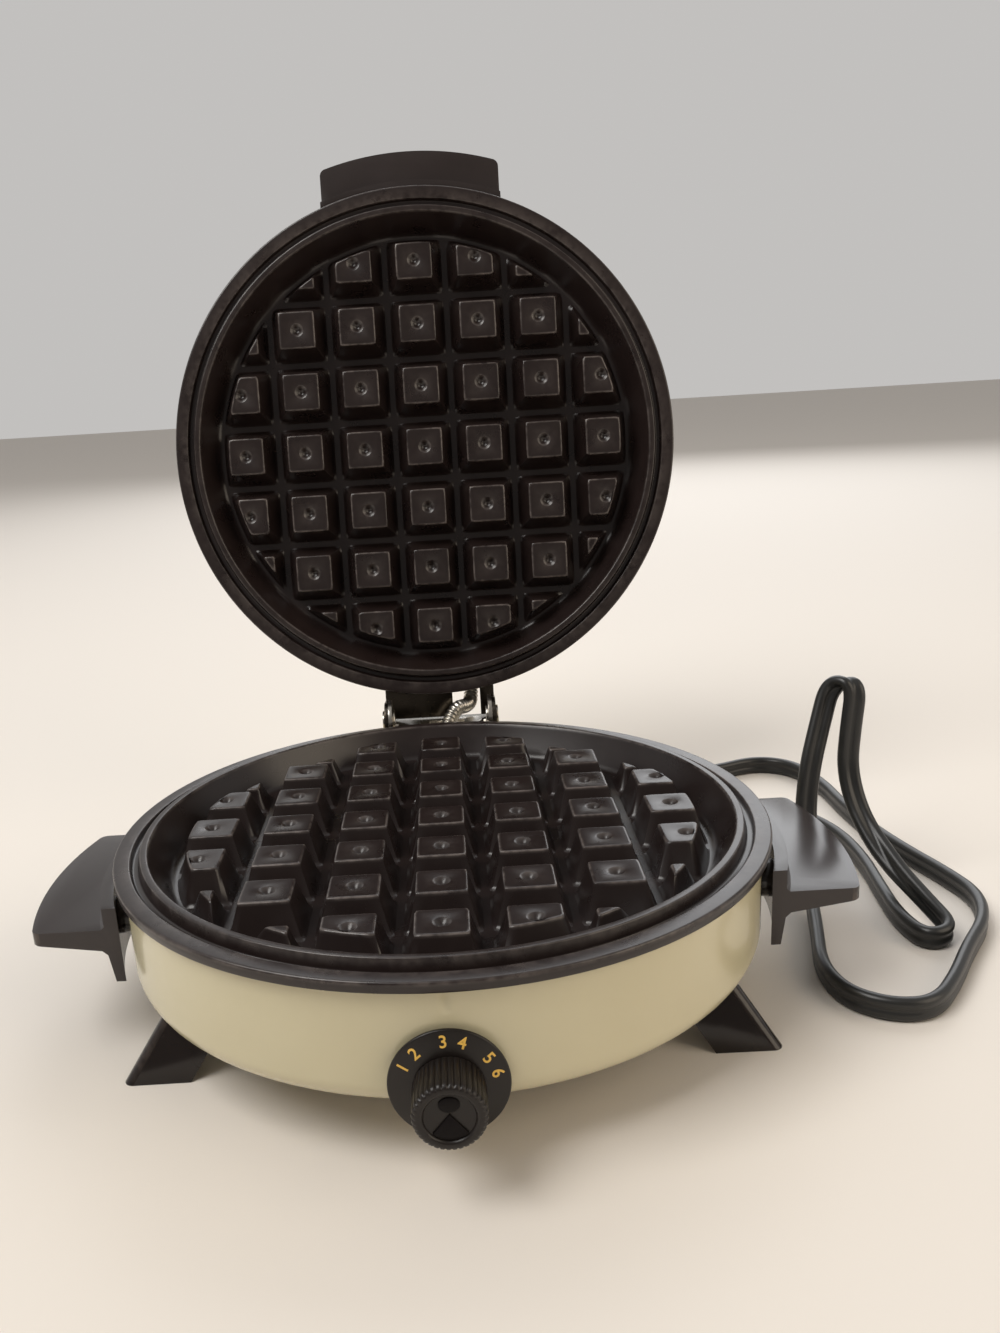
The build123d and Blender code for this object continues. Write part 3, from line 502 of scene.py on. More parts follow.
def twinSection(facts):
    # two round conductors side by side with a seam between them
    radius = facts["thickness"] / 2 * mm
    middle = (facts["width"] / 2) * mm - radius
    points = []
    for side in (1, -1):
        for step in range(11):
            turn = math.radians(facts["wrap"] * (step / 5 - 1))
            points.append((side * (middle + radius * math.cos(turn)), side * radius * math.sin(turn)))
        points.append((0.0, side * facts["seam"] * mm))
    return points


def sweptCord(name, line, facts):
    section = twinSection(facts)
    bm = bmesh.new()
    rings = []
    wide = Vector((0, 0, 1))
    for index, here in enumerate(line):
        ahead = (line[min(index + 1, len(line) - 1)] - line[max(index - 1, 0)]).normalized()
        lift = min(max((here.z / mm - facts["turnFrom"]) / facts["turnOver"], 0), 1)
        lift = lift * lift * (3 - 2 * lift) if index > len(line) / 3 else 0
        hint = Vector((lift, 0, 1 - lift))
        flat = hint - ahead * hint.dot(ahead)
        # where the lead runs along the hint, it keeps the way that it already has
        if flat.length > 0.25:
            flat.normalize()
            if flat.dot(wide) < 0:
                flat.negate()
            wide = (wide * 2 + flat).normalized()
        wide = (wide - ahead * wide.dot(ahead)).normalized()
        thin = ahead.cross(wide)
        rings.append([bm.verts.new(here + wide * u + thin * v) for u, v in section])
    return closedSweep(name, bm, rings)


cordPath = cordLine(cordFacts)
cordMesh = sweptCord("cordFlex", cordPath, cordFacts)
cordPiece = addPiece("cordFlex", cordMesh, "cordRubber", "base", ("cord",), 70)


# Grid plates
gridFacts = {
    "pitch": 25.0, "topWidth": 14.7, "footWidth": 21.2, "depth": 11.0, "reach": 82.0,
    "topRound": 0.6, "footRound": 1.3, "crown": 0.5, "cove": 0.9, "corners": 44,
    # rings of a post: height over the floor, growth as a share of the cove, wear
    "footRings": ((-0.3, 1.3, 0.0), (0.25, 0.45, 0.0), (1.2, 0.0, 0.0)),
    # depth under the top and draw-in, both as shares of the crown, and wear
    "crownRings": ((2.2, 0.0, 0.0), (1.0, 0.0, 0.3), (0.62, 0.08, 0.8), (0.22, 0.36, 1.0),
                   (0.0, 0.9, 0.35), (0.0, 1.6, 0.0)),
    "sliverDrop": 2.6,       # of the posts whose whole top lies beyond the circle
    "dimpleWidth": 5.2, "dimpleDepth": 1.8,
    "well": 88.0, "wellRound": 2.2, "lipInner": 93.6, "lipOuter": 96.4, "lipRise": 1.35, "lipFoot": 0.9,
    "grooveGap": 0.4, "grooveWidth": 2.5, "grooveDepth": 2.0,
    "rim": 104.5, "rimStep": 0.7, "rimEdge": 1.4, "skirt": 4.0,
    "spigot": 100.6, "spigotDepth": 8.0, "wall": 3.5, "heel": 3.0,
    "wearReach": 0.9, "turns": 256,
}


def clippedReach(centre, half, reach, corner, across):
    # distance from a post's middle to its outline, by halving: a rounded square cut by a circle
    low, high = 0.0, 2.0 * half
    for _ in range(26):
        middle = (low + high) / 2
        x, y = centre[2] + across[0] * middle, centre[3] + across[1] * middle
        beyond = (
            max(abs(x - centre[0]) - (half - corner), 0) ** 2
            + max(abs(y - centre[1]) - (half - corner), 0) ** 2
            + max(math.hypot(x, y) - (reach - corner), 0) ** 2
        )
        if math.sqrt(beyond) > corner:
            high = middle
        else:
            low = middle
    return low


def postMiddle(x, y, half, reach):
    # centre of what the circle leaves of a post's top, sampled on a square of points
    fine, fewest = 8, 12
    steps = [half * step / fine for step in range(-fine, fine + 1)]
    kept = [(x + u, y + v) for u in steps for v in steps if math.hypot(x + u, y + v) < reach]
    if len(kept) < fewest:
        return None
    return sum(place[0] for place in kept) / len(kept), sum(place[1] for place in kept) / len(kept)


def wornRing(bm, wear, middle, aims, reaches, height, worn):
    # a ring about a middle, each point at its own distance
    ring = []
    for aim, reach in zip(aims, reaches):
        place = (middle[0] + aim[0] * reach, middle[1] + aim[1] * reach, height)
        vertex = bm.verts.new([value * mm for value in place])
        vertex[wear] = worn
        ring.append(vertex)
    return ring


def addPost(bm, wear, x, y, facts):
    halfTop, halfFoot, depth = facts["topWidth"] / 2, facts["footWidth"] / 2, facts["depth"]
    slope = (halfFoot - halfTop) / depth
    middle = postMiddle(x, y, halfTop, facts["reach"])
    partial = middle is None
    if partial:
        middle = postMiddle(x, y, halfFoot, facts["reach"] + slope * depth - 1.0)
        if middle is None:
            return
    count, crown = facts["corners"], facts["crown"]
    turns = [2 * math.pi * (step + 0.5) / count for step in range(count)]
    aims = [(math.cos(turn), math.sin(turn)) for turn in turns]
    peak = -facts["sliverDrop"] if partial else 0.0
    levels = [(rise - depth, facts["cove"] * grow, worn) for rise, grow, worn in facts["footRings"]]
    levels += [(peak - crown * drop, -crown * inset, worn) for drop, inset, worn in facts["crownRings"]]
    rings = []
    for height, grow, worn in levels:
        half = halfTop - slope * height + grow
        reach = facts["reach"] - slope * height + grow
        share = min(max(-height / depth, 0), 1)
        corner = facts["topRound"] * (1 - share) + facts["footRound"] * share
        reaches = [clippedReach((x, y, *middle), half, reach, corner, aim) for aim in aims]
        rings.append(wornRing(bm, wear, middle, aims, reaches, height, worn))
    bridgeRings(bm, rings)
    bm.faces.new(list(reversed(rings[0])))
    rim, deep = facts["dimpleWidth"] / 2, facts["dimpleDepth"]
    if partial or math.hypot(x, y) >= facts["reach"] - rim:
        bm.faces.new(rings[-1])
        return
    dimple = [(rim + 0.25, 0.0, 0.15), (rim - 0.1, -0.12, 0.5),
              (rim * 0.55, -deep * 0.62, 0.05), (rim * 0.25, -deep, 0.0)]
    inner = rings[-1:]
    for radius, height, worn in dimple:
        inner.append(wornRing(bm, wear, (x, y), aims, [radius] * count, height, worn))
    bridgeRings(bm, inner)
    bm.faces.new(inner[-1])


def dishOutline(f):
    # section of the casting without its posts, from the middle out and back behind
    floor, rim, skirt, spigot = -f["depth"], -f["rimStep"], -f["skirt"], -f["spigotDepth"]
    back, groove = floor - f["wall"], rim - f["grooveDepth"]
    inner = f["lipOuter"] + f["grooveGap"]
    outer = inner + f["grooveWidth"]
    return roundedOutline([
        (0.0, floor, 0), (f["well"], floor, f["wellRound"]),
        (f["lipInner"] - 0.2, f["lipRise"] - f["lipFoot"], 0.5), (f["lipInner"] + 0.35, f["lipRise"], 0.4),
        (f["lipOuter"] - 0.3, f["lipRise"], 0.5), (inner, groove, 0.7), (outer - 0.4, groove, 0.7),
        (outer, rim, 0.45), (f["rim"] - 0.2, rim, 0.9), (f["rim"], rim - f["rimEdge"], 0.6),
        (f["rim"] - 0.25, skirt, 0.5), (f["spigot"], skirt, 0), (f["spigot"], spigot, 0.3),
        (f["spigot"] - f["wall"], spigot, 0.3), (f["well"] + f["heel"], back, 0.5), (0.0, back, 0),
    ])


def gridMesh(name, facts):
    plate = spinOutline(name + "Dish", inMetres(dishOutline(facts)), facts["turns"])
    bm = bmesh.new()
    bm.from_mesh(plate)
    wear = bm.verts.layers.float.new("wear")
    # worn edges of the casting: radius, strength, height
    edges = (
        (facts["lipInner"], 0.9, facts["lipRise"]), (facts["lipOuter"], 0.8, facts["lipRise"]),
        (facts["lipOuter"] + facts["grooveGap"] + facts["grooveWidth"], 0.75, -facts["rimStep"]),
        (facts["rim"], 0.7, -facts["rimStep"] - 0.4),
    )
    for vertex in bm.verts:
        radius, height = math.hypot(vertex.co.x, vertex.co.y) / mm, vertex.co.z / mm
        for place, strength, level in edges:
            near = math.hypot(radius - place, height - level)
            vertex[wear] = max(vertex[wear], strength * max(0.0, 1 - near / facts["wearReach"]))
    steps = int(facts["rim"] // facts["pitch"])
    for column in range(-steps, steps + 1):
        for row in range(-steps, steps + 1):
            addPost(bm, wear, column * facts["pitch"], row * facts["pitch"], facts)
    return finishMesh(name, bm)


lowerGrid = gridMesh("lowerGrid", gridFacts)
upperGrid = lowerGrid.copy()
lowerGrid.transform(basePlace)
upperGrid.transform(lidPlace)
addPiece("lowerGrid", lowerGrid, "nonstick", "base", ("lower_grid_plate",), 50)
addPiece("upperGrid", upperGrid, "nonstick", "lid", ("upper_grid_plate",), 50)
print("grid plates ready")


# Drawn shells
shellFacts = {
    "radius": 101.7, "wall": 0.9, "depth": 39.0, "corner": 8.0, "lidCrown": 3.0, "opening": 66.0,
    "top": 4.0, "hem": 1.2, "turns": 256,
    # the pressed mark over the dial: its height under the post tops, its width and depth
    "mark": 8.2, "markWidth": 2.2, "markDepth": 0.6,
    "markPatch": 2.2,        # reach of the fine patch round it, in widths
    "markEdge": 0.35,        # millimetres: longer edges are split there
}


def shellOutline(facts, crown, opening):
    # outside wall down to the corner, then the flat or the crown, and back inside
    outside, inside = [], []
    bends, flats = 10, 15
    for points, inset in ((outside, 0.0), (inside, facts["wall"])):
        radius, depth = facts["radius"] - inset, facts["depth"] - inset
        corner = facts["corner"] - inset
        flat = radius - corner
        points.append((radius, -facts["top"]))
        points.append((radius, -facts["top"] - facts["hem"]))
        for step in range(bends + 1):
            turn = math.pi / 2 * step / bends
            points.append((flat + corner * math.cos(turn), -depth + corner - corner * math.sin(turn)))
        for step in range(1, flats + 1):
            place = flat + (opening - flat) * step / flats
            points.append((place, -depth - crown * (1 - (place / flat) ** 2)))
    return inMetres(outside + list(reversed(inside)))


def pressMark(shell, facts):
    # a round dent over the dial: a fine patch of the wall, pushed in
    bm = bmesh.new()
    bm.from_mesh(shell)
    middle = Vector((0, -facts["radius"] * mm, -facts["mark"] * mm))
    reach = facts["markWidth"] * mm
    outside, wall = facts["radius"] * mm, facts["wall"] * mm
    for cuts in (3, 3):
        near = set()
        for face in bm.faces:
            places = [face.calc_center_median()] + [vertex.co for vertex in face.verts]
            if min((place - middle).length for place in places) < facts["markPatch"] * reach:
                near.update(face.edges)
        long = [edge for edge in bm.edges if edge in near and edge.calc_length() > facts["markEdge"] * mm]
        bmesh.ops.subdivide_edges(bm, edges=long, cuts=cuts, use_grid_fill=True)
    for vertex in bm.verts:
        radius = math.hypot(vertex.co.x, vertex.co.y)
        away = (vertex.co - middle).length / reach
        if away < 1 and vertex.co.y < 0:
            full = outside if radius > outside - wall / 2 else outside - wall
            pressed = full - facts["markDepth"] * mm * (1 - away ** 2) ** 2
            vertex.co.x *= pressed / radius
            vertex.co.y *= pressed / radius
    bm.to_mesh(shell)
    bm.free()
    return shell


baseOutline = shellOutline(shellFacts, 0.0, shellFacts["opening"])
lidOutline = shellOutline(shellFacts, shellFacts["lidCrown"], 0.0)
baseShell = spinOutline("baseShell", baseOutline, shellFacts["turns"])
lidShell = spinOutline("lidShell", lidOutline, shellFacts["turns"])
baseShell = pressMark(baseShell, shellFacts)
baseShell.transform(basePlace)
lidShell.transform(lidPlace)
addPiece("baseShell", baseShell, "enamel", "base", ("base_shell",), 60)
addPiece("lidShell", lidShell, "enamel", "lid", ("lid_shell",), 60)
print("shells ready")


# Handles, feet, hinge and other formed pieces
# piece, CAD node, finish, body, rounding in millimetres
softPieces = [
    ("leftHandle", "left_handle", "phenolicBrown", "base", 0.7),
    ("rightHandle", "right_handle", "phenolicBrown", "base", 0.7),
    ("lidHandle", "lid_handle", "phenolicBrown", "lid", 0.7),
    ("leftSpacers", "left_handle_spacers", "phenolicBlack", "base", 0.3),
    ("rightSpacers", "right_handle_spacers", "phenolicBlack", "base", 0.3),
    ("lidSpacers", "lid_handle_spacers", "phenolicBlack", "lid", 0.3),
    ("leftFoot", "left_foot", "phenolicBlack", "base", 0.6),
    ("rightFoot", "right_foot", "phenolicBlack", "base", 0.6),
    ("rearFoot", "rear_foot", "phenolicBlack", "base", 0.6),
    ("hingeLedge", "hinge_base_bracket", "nickelPlate", "base", 0.3),
    # the hinge web's dark colour is a painted reflection of the lid's dark underside
    ("hingeWeb", "hinge_lid_bracket", "nickelPaintedReflection", "lid", 0.3),
    ("hingeRivets", "hinge_pins", "nickelPlate", "base", 0.35),
    ("servicePlate", "bottom_cover", "zincSteel", "base", 0.2),
    ("cordSleeve", "strain_relief", "cordRubber", "base", 0.5),
    ("plugBlades", "plug_blades", "brassPlain", "base", 0.25),
]
for name, node, finish, body, width in softPieces:
    softened(name, node, finish, body, width)
print("moulded pieces ready")


# Plug
plugFacts = {
    "length": 28.0, "sides": 40,
    "power": 4.0,            # of the section: 2 is an ellipse, more is squarer
    # share of the length, scale, width and height, from the lead to the blades
    "stations": [
        (0.0, 0.80, 10.0, 8.4), (0.03, 1.0, 10.0, 8.4), (0.22, 1.0, 10.0, 8.4), (0.40, 1.0, 15.0, 9.4),
        (0.55, 1.0, 16.5, 10.0), (0.68, 1.0, 19.6, 11.4), (0.76, 1.0, 21.0, 12.0),
        (0.96, 1.0, 21.0, 12.0), (1.0, 0.93, 21.0, 12.0),
    ],
}


def plugMesh(name, facts, end, heading):
    across = Vector((-heading.y, heading.x, 0))
    up = Vector((0, 0, 1))
    power, sides = facts["power"], facts["sides"]
    bm = bmesh.new()
    rings = []
    for share, scale, wide, tall in facts["stations"]:
        ring = []
        for step in range(sides):
            turn = 2 * math.pi * step / sides
            c, s = math.cos(turn), math.sin(turn)
            reach = (abs(c) ** power + abs(s) ** power) ** (-1 / power) * scale / 2 * mm
            place = end + heading * share * facts["length"] * mm
            ring.append(bm.verts.new(place + across * c * reach * wide + up * s * reach * tall))
        rings.append(ring)
    return closedSweep(name, bm, rings)


plugHeading = cordPath[-1] - cordPath[-3]
plugHeading.z = 0
plugHeading.normalize()
plugShape = plugMesh("plugBody", plugFacts, cordPath[-1], plugHeading)
plugBody = addPiece("plugBody", plugShape, "cordRubber", "base", ("plug_body",), 50)
print("plug ready")


# Dial
dialFacts = {
    "skirt": 15.5, "edge": 1.3, "rise": 2.6, "bore": 3.0, "grip": 9.25, "length": 12.4,
    "flutes": 36, "fluteDepth": 0.42, "fluteSteps": 8,
    "fluteShape": 1.5,       # power of the cosine: more makes narrower flutes
    # rings of the barrel: draw-in, height over the skirt or depth under the front, flutes' share
    "foot": ((0.9, 0.0, 0.0), (0.1, 0.5, 0.3), (0.0, 1.3, 1.0)),
    "front": ((0.0, 1.3, 1.0), (0.2, 0.8, 0.9), (0.6, 0.35, 0.6), (1.1, 0.1, 0.15), (1.7, 0.0, 0.0),
              (2.3, 0.0, 0.0), (2.7, 0.4, 0.0), (3.0, 0.9, 0.0), (4.6, 1.0, 0.0)),
    "numerals": {"1": -62, "2": -40, "3": -4, "4": 18, "5": 54, "6": 76},
    "numeralRadius": 12.45, "numeralSize": 4.4, "numeralDepth": 0.05, "numeralWeight": 0.06,
    "numeralLift": 0.08,
    "dish": 1.0, "sunk": 0.2,
    "fanHalf": 46, "fanReach": 6.0, "fanTip": 0.9, "fanRise": 0.45, "fanTop": 0.65, "fanShrink": 0.93,
    "fanMiddle": 2.8,        # millimetres under the axis: the fan's top shrinks about this place
    # the pad's top: draw-in of the radius, and height over the knob's face
    "pad": 2.6, "padAbove": 3.5, "padSquash": 0.78, "padTop": ((0.0, 0.35), (0.3, 0.55), (2.6, 0.6)),
}
dialPlace = Matrix.Translation(dialCentre) @ Matrix(((1, 0, 0, 0), (0, 0, -1, 0), (0, 1, 0, 0), (0, 0, 0, 1)))


def skirtMesh(facts):
    rise, skirt, seat = facts["rise"], facts["skirt"], facts["rise"] + 0.2
    outline = roundedOutline([
        (facts["bore"], 0.0, 0), (skirt - 0.6, 0.0, 0.2), (skirt, 0.5, 0.4),
        (skirt - 0.1, facts["edge"], 0.7), (facts["grip"] + 0.6, rise, 0.6),
        (facts["grip"] - 1.0, seat, 0), (facts["bore"], seat, 0),
    ])
    return spinOutline("dialSkirt", inMetres(outline), 128)


def gripMesh(facts):
    # fluted barrel, its flutes fading out at the shoulder, with a dished front
    top, radius = facts["rise"] + facts["length"], facts["grip"]
    stations = [(radius - inset, facts["rise"] + up, share) for inset, up, share in facts["foot"]]
    stations += [(radius - inset, top - down, share) for inset, down, share in facts["front"]]
    steps = facts["flutes"] * facts["fluteSteps"]
    bm = bmesh.new()
    rings = []
    for ringRadius, height, share in stations:
        ring = []
        for step in range(steps):
            turn = 2 * math.pi * step / steps
            dip = max(0.0, math.cos(facts["flutes"] * turn)) ** facts["fluteShape"]
            reach = (ringRadius - dip * facts["fluteDepth"] * share) * mm
            ring.append(bm.verts.new((reach * math.cos(turn), reach * math.sin(turn), height * mm)))
        rings.append(ring)
    return closedSweep("dialGrip", bm, rings)


def fanMesh(facts):
    # raised fan under the middle of the knob's face, and the round pad above it
    face = facts["rise"] + facts["length"] - facts["dish"]
    low, half, reach, pad = face - facts["sunk"], facts["fanHalf"], facts["fanReach"], facts["pad"]
    spread = [(0.0, facts["fanTip"])]
    for step in range(13):
        turn = math.radians(-90 - half + 2 * half * step / 12)
        spread.append((reach * math.cos(turn), reach * math.sin(turn)))
    bm = bmesh.new()
    rings = []
    for height, shrink in ((low, 1.0), (face + facts["fanRise"], 1.0),
                           (face + facts["fanTop"], facts["fanShrink"])):
        drop = (1 - shrink) * facts["fanMiddle"]
        rings.append([bm.verts.new((x * shrink * mm, (y * shrink - drop) * mm, height * mm))
                      for x, y in spread])
    fan = closedSweep("dialFan", bm, rings)
    outline = [(0, low), (pad, low)] + [(pad - inset, face + up) for inset, up in facts["padTop"]]
    disc = spinOutline("dialPad", inMetres(outline), 40)
    squash = Matrix.Diagonal((1, facts["padSquash"], 1, 1))
    disc.transform(Matrix.Translation((0, facts["padAbove"] * mm, 0)) @ squash)
    return joinMeshes("dialFace", [fan, disc])


def numeralMesh(facts):
    slope = math.atan2(facts["rise"] - facts["edge"], facts["skirt"] - facts["grip"])
    rise = facts["edge"] + (facts["skirt"] - facts["numeralRadius"]) * math.tan(slope)
    place = Matrix.Translation((0, facts["numeralRadius"] * mm, (rise + facts["numeralLift"]) * mm))
    meshes = []
    for text, angle in facts["numerals"].items():
        curve = bpy.data.curves.new("numeral", "FONT")
        curve.body = text
        curve.align_x, curve.align_y = "CENTER", "CENTER"
        curve.size = facts["numeralSize"] * mm
        curve.extrude = facts["numeralDepth"] * mm
        curve.offset = facts["numeralWeight"] * mm
        mesh = bakeMesh(addObject("numeral", curve), "numeral")
        turn = Matrix.Rotation(-math.radians(angle), 4, "Z")
        mesh.transform(turn @ place @ Matrix.Rotation(-slope, 4, "X"))
        meshes.append(mesh)
    return joinMeshes("dialNumerals", meshes)


for name, mesh, finish, nodes in (
    ("dialSkirt", skirtMesh(dialFacts), "dialBlack", ("dial_skirt",)),
    ("dialGrip", gripMesh(dialFacts), "dialBlack", ("dial_knob",)),
    # the fan and pad are darker than the knob: painted shade
    ("dialFace", fanMesh(dialFacts), "dialFacePaintedShade", ()),
    ("dialNumerals", numeralMesh(dialFacts), "dialGold", ()),
):
    mesh.transform(dialPlace)
    addPiece(name, mesh, finish, "dial", nodes, 50)
print("dial ready")


# Conduit
conduitFacts = {
    "radius": 3.2, "rib": 0.6, "turns": 34, "turnSteps": 8, "sides": 20, "samples": 60,
    "ridgeShape": 0.6,       # power of the ridge: less makes a wider crest
    # places from the base's axis, in millimetres
    "route": [(0.5, 100.2, 40.0), (0.5, 110.26, 40.5), (3.0, 115.06, 52.0), (7.0, 119.26, 58.0),
              (11.5, 125.46, 56.4), (14.0, 134.4, 57.1), (14.0, 136.46, 68.9)],
}


def conduitMesh(facts):
    line = fineLine("conduitLine", facts["route"], facts["samples"])
    run = [0.0]
    for a, b in zip(line, line[1:]):
        run.append(run[-1] + (b - a).length)
    bm = bmesh.new()
    rings = []
    count, sides = facts["turns"] * facts["turnSteps"], facts["sides"]
    index = 0
    side = Vector((1, 0, 0))
    for step in range(count + 1):
        place = run[-1] * step / count
        while index < len(run) - 2 and run[index + 1] < place:
            index += 1
        share = (place - run[index]) / max(run[index + 1] - run[index], 1e-9)
        here = line[index].lerp(line[index + 1], share)
        ahead = (line[min(index + 3, len(line) - 1)] - line[max(index - 2, 0)]).normalized()
        side = (side - ahead * side.dot(ahead)).normalized()
        other = ahead.cross(side)
        ring = []
        for corner in range(sides):
            turn = 2 * math.pi * corner / sides
            # the strip is wound on a helix, so its ridge climbs once a turn
            phase = (step / facts["turnSteps"] + corner / sides) % 1.0
            ridge = 0.5 - 0.5 * math.cos(2 * math.pi * phase)
            reach = (facts["radius"] - facts["rib"] * (1 - ridge ** facts["ridgeShape"])) * mm
            ring.append(bm.verts.new(here + side * reach * math.cos(turn) + other * reach * math.sin(turn)))
        rings.append(ring)
    return closedSweep("armouredConduit", bm, rings), line[0], line[-1]


conduitShape, conduitStart, conduitEnd = conduitMesh(conduitFacts)
conduitPiece = addPiece("armouredConduit", conduitShape, "conduitSteel", None, (), 80)
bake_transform(conduitPiece)
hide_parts("conduit")
print("conduit ready")


# Screws, set on points by one tree
screwFacts = {
    "radius": 3.6, "height": 2.2, "slot": 0.9, "slotDepth": 0.8, "shank": 2.0, "point": 0.4,
    # the domed head: radius, and depth under its top
    "dome": ((1.4, 0.0), (2.6, 0.2), (3.3, 0.8)), "brim": 0.35, "undercut": 0.15,
    "thread": 11.0,          # millimetres of shank behind a tie screw's head
    "coverThread": 4.9, "coverSize": 0.65, "coverRing": 69.0, "coverSeat": 39.8, "coverTurn": 22.5,
    "tieRing": 78.0, "tieAngles": (45, 135, 225, 315), "lidSeat": 40.4,
}


def screwHead(facts, thread):
    # round head with a cross recess, on its shank
    top, radius, neck, point = facts["height"], facts["radius"], facts["shank"], facts["point"]
    outline = [(0, top)] + [(place, top - drop) for place, drop in facts["dome"]]
    outline += [(radius, facts["brim"]), (radius - facts["undercut"], 0.0), (neck, 0.0),
                (neck, point - thread), (neck - point, -thread), (0, -thread)]
    thing = addObject("screwHead", spinOutline("screwHead", inMetres(reversed(outline)), 32))
    bm = bmesh.new()
    size = Matrix.Diagonal((radius * mm, facts["slot"] * mm, facts["slotDepth"] * 2 * mm, 1))
    for turn in (0, math.pi / 2):
        place = Matrix.Translation((0, 0, top * mm)) @ Matrix.Rotation(turn, 4, "Z")
        bmesh.ops.create_cube(bm, size=1, matrix=place @ size)
    cutMesh = bpy.data.meshes.new("recess")
    bm.to_mesh(cutMesh)
    bm.free()
    cutter = addObject("recess", cutMesh)
    cut = thing.modifiers.new("recess", "BOOLEAN")
    cut.operation = "DIFFERENCE"
    cut.object = cutter
    cut.use_self = True
    mesh = bakeMesh(thing, "screwHead")
    bpy.data.objects.remove(cutter)
    return mesh


def scatterTree(material):
    tree = bpy.data.node_groups.new("screwRow", "GeometryNodeTree")
    tree.interface.new_socket("Geometry", in_out="INPUT", socket_type="NodeSocketGeometry")
    tree.interface.new_socket("Head", in_out="INPUT", socket_type="NodeSocketObject")
    size = tree.interface.new_socket("Size", in_out="INPUT", socket_type="NodeSocketFloat")
    size.default_value = 1.0
    tree.interface.new_socket("Geometry", in_out="OUTPUT", socket_type="NodeSocketGeometry")
    nodes, links = tree.nodes, tree.links
    given, result = nodes.new("NodeGroupInput"), nodes.new("NodeGroupOutput")
    info = nodes.new("GeometryNodeObjectInfo")
    facing = nodes.new("GeometryNodeInputNamedAttribute")
    facing.data_type = "FLOAT_VECTOR"
    facing.inputs["Name"].default_value = "facing"
    align = nodes.new("FunctionNodeAlignRotationToVector")
    align.axis = "Z"
    scatter = nodes.new("GeometryNodeInstanceOnPoints")
    realize = nodes.new("GeometryNodeRealizeInstances")
    paint = nodes.new("GeometryNodeSetMaterial")
    paint.inputs["Material"].default_value = material
    links.new(given.outputs["Head"], info.inputs["Object"])
    links.new(given.outputs["Geometry"], scatter.inputs["Points"])
    links.new(info.outputs["Geometry"], scatter.inputs["Instance"])
    links.new(facing.outputs[0], align.inputs["Vector"])
    links.new(align.outputs["Rotation"], scatter.inputs["Rotation"])
    links.new(given.outputs["Size"], scatter.inputs["Scale"])
    links.new(scatter.outputs["Instances"], realize.inputs["Geometry"])
    links.new(realize.outputs["Geometry"], paint.inputs["Geometry"])
    links.new(paint.outputs["Geometry"], result.inputs["Geometry"])
    return tree


def scatterHeads(name, head, places, facing, size, body, node):
    points = bpy.data.meshes.new(name)
    points.from_pydata([tuple(place) for place in places], [], [])
    aim = points.attributes.new("facing", "FLOAT_VECTOR", "POINT")
    for spot in aim.data:
        spot.vector = tuple(facing)
    carrier = addObject(name, points)
    template = addObject("template", head)
    rows = carrier.modifiers.new("screws", "NODES")
    rows.node_group = screwTree
    items = screwTree.interface.items_tree
    sockets = {item.name: item.identifier for item in items if item.in_out == "INPUT"}
    rows[sockets["Head"]] = template
    rows[sockets["Size"]] = size
    mesh = bakeMesh(carrier, name)
    bpy.data.objects.remove(template)
    return addPiece(name, mesh, "zincSteel", body, (node,))


def ringPlaces(radius, angles, height, place):
    spots = []
    for angle in angles:
        turn = math.radians(angle)
        spot = Vector((radius * math.cos(turn), radius * math.sin(turn), height))
        spots.append(place @ (spot * mm))
    return spots


tieHead = screwHead(screwFacts, screwFacts["thread"])
coverHead = screwHead(screwFacts, screwFacts["coverThread"])
screwTree = scatterTree(materials["zincSteel"])
down = Vector((0, 0, -1))
lidDown = (lidPlace.to_3x3() @ down).normalized()
tieAngles = screwFacts["tieAngles"]
coverAngles = [angle + screwFacts["coverTurn"] for angle in tieAngles]
lidSpots = ringPlaces(screwFacts["tieRing"], tieAngles, -screwFacts["lidSeat"], lidPlace)
baseSpots = ringPlaces(screwFacts["tieRing"], tieAngles, -shellFacts["depth"], basePlace)
coverSpots = ringPlaces(screwFacts["coverRing"], coverAngles, -screwFacts["coverSeat"], basePlace)
scatterHeads("lidScrews", tieHead, lidSpots, lidDown, 1.0, "lid", "lid_tie_screws")
scatterHeads("baseScrews", tieHead, baseSpots, down, 1.0, "base", "base_tie_screws")
scatterHeads("coverScrews", coverHead, coverSpots, down, screwFacts["coverSize"], "base", "cover_screws")
print("screws ready")


# The CAD nodes that stay
keptFinish = {
    "zincSteel": ("thermostat_bracket", "thermostat_spindle",
                  "foot_screws", "base_handle_screws", "lid_handle_screws", "base_bracket_screws",
                  "lid_bracket_screws", "conduit_base_bushing", "conduit_lid_bushing"),
    "elementSteel": ("lower_heating_element", "upper_heating_element"),
    "springSteel": ("lower_element_clips", "upper_element_clips", "bimetal_blade"),
    "brightAluminium": ("lower_reflector", "upper_reflector"),
    "ceramic": ("lower_insulators", "upper_insulators", "thermostat_body"),
    "brassPlain": ("thermostat_bushing",),
}
for finish, names in keptFinish.items():
    for name in names:
        node = frame["nodes"][name]
        if not node.data.materials:
            node.data.materials.append(materials[finish])
        for slot in node.material_slots:
            slot.material = materials[finish]
print("kept nodes painted")


# Floor and light
stageFacts = {"reach": 6.0, "colour": (0.74, 0.69, 0.63), "rough": 0.75}


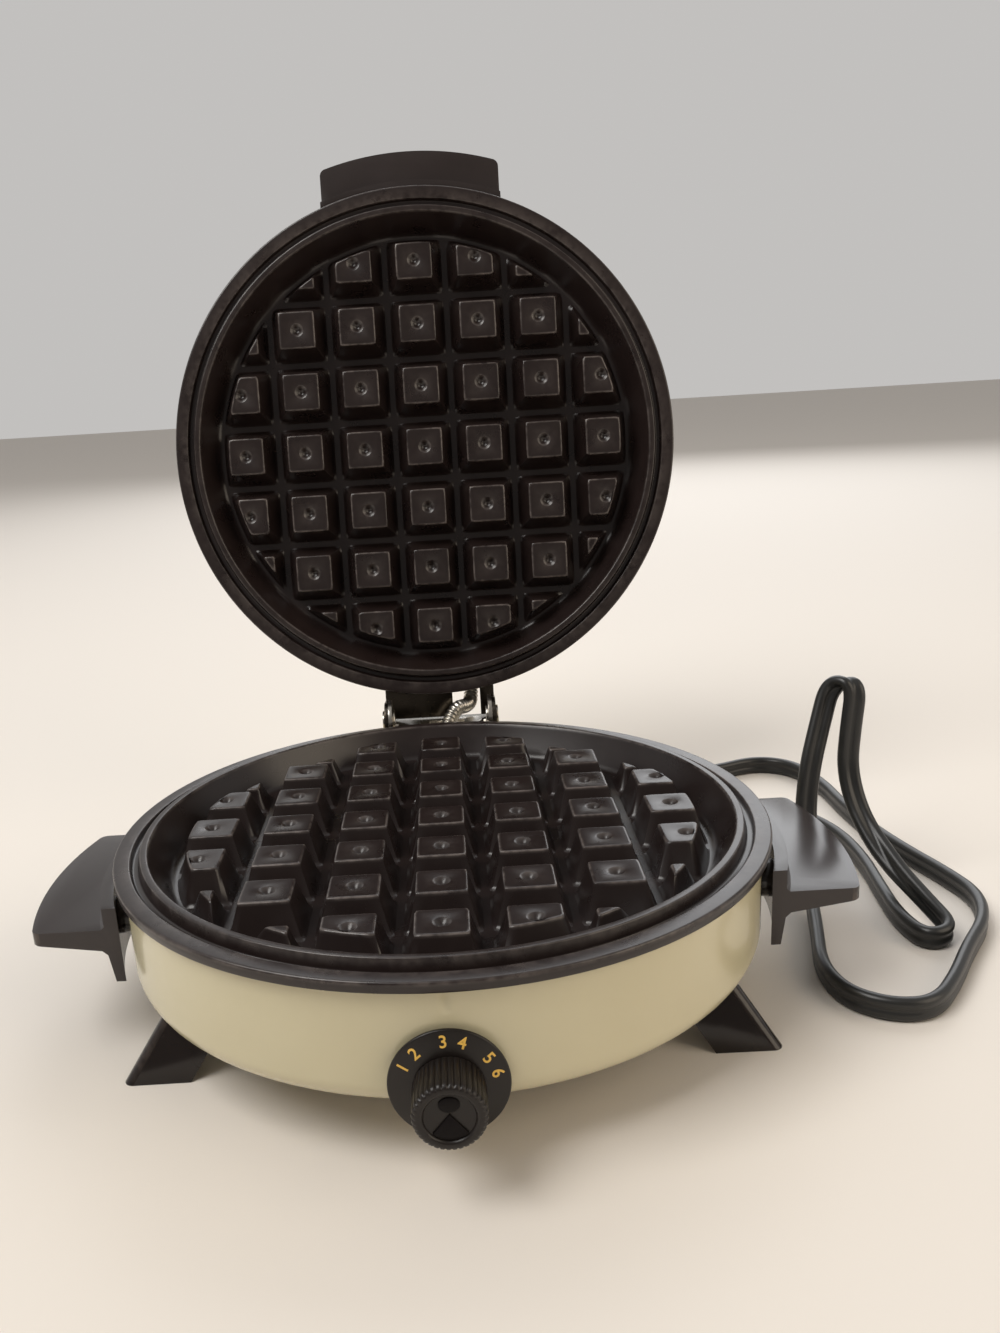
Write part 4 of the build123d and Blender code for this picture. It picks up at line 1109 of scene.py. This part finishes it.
def makeFloor(facts):
    mesh = bpy.data.meshes.new("floor")
    wide = facts["reach"]
    corners = [(-wide, -wide, 0), (wide, -wide, 0), (wide, wide, 0), (-wide, wide, 0)]
    mesh.from_pydata(corners, [], [(0, 1, 2, 3)])
    cloth = bpy.data.materials.new("paleFloor")
    cloth.use_nodes = True
    shader = cloth.node_tree.nodes["Principled BSDF"]
    shader.inputs["Base Color"].default_value = (*facts["colour"], 1)
    shader.inputs["Roughness"].default_value = facts["rough"]
    mesh.materials.append(cloth)
    addObject("floor", mesh)


sky = {"front": (0.30, 0.28, 0.27), "rear": (0.90, 0.88, 0.86), "strength": 0.60, "span": (-0.9, 0.5)}
lights = {
    "key": {"place": (-0.9, -0.5, 1.5), "aim": (0, 0, 0.08), "size": 1.0,
            "power": 22, "tint": (1.0, 0.98, 0.95)},
    "fill": {"place": (1.3, -0.7, 0.8), "aim": (0, 0, 0.08), "size": 1.2,
             "power": 9, "tint": (1.0, 0.86, 0.68)},
    "rear": {"place": (0.3, 1.5, 1.1), "aim": (0, 0, 0.05), "size": 1.6,
             "power": 16, "tint": (0.95, 0.97, 1.0)},
}


def makeLight(name, facts):
    data = bpy.data.lights.new(name, "AREA")
    data.size = facts["size"]
    data.energy = facts["power"]
    data.color = facts["tint"]
    thing = addObject(name, data)
    thing.location = facts["place"]
    thing.rotation_mode = "QUATERNION"
    towards = Vector(facts["aim"]) - Vector(facts["place"])
    thing.rotation_quaternion = towards.to_track_quat("-Z", "Y")


def makeSky(facts):
    # a pale room, dimmer towards the front, so that the grids stay dark
    world = bpy.data.worlds.new("softRoom")
    world.use_nodes = True
    nodes, links = world.node_tree.nodes, world.node_tree.links
    back = nodes["Background"]
    back.inputs["Strength"].default_value = facts["strength"]
    place = nodes.new("ShaderNodeTexCoord")
    split = nodes.new("ShaderNodeSeparateXYZ")
    ramp = nodes.new("ShaderNodeMapRange")
    ramp.inputs["From Min"].default_value, ramp.inputs["From Max"].default_value = facts["span"]
    links.new(place.outputs["Generated"], split.inputs["Vector"])
    links.new(split.outputs["Y"], ramp.inputs["Value"])
    tint = colourMix(nodes, links, ramp.outputs["Result"], facts["front"], facts["rear"])
    links.new(tint, back.inputs["Color"])
    bpy.context.scene.world = world


makeFloor(stageFacts)
for name, facts in lights.items():
    makeLight(name, facts)
makeSky(sky)
bpy.context.scene.view_settings.view_transform = "Standard"
print("floor and lights ready")
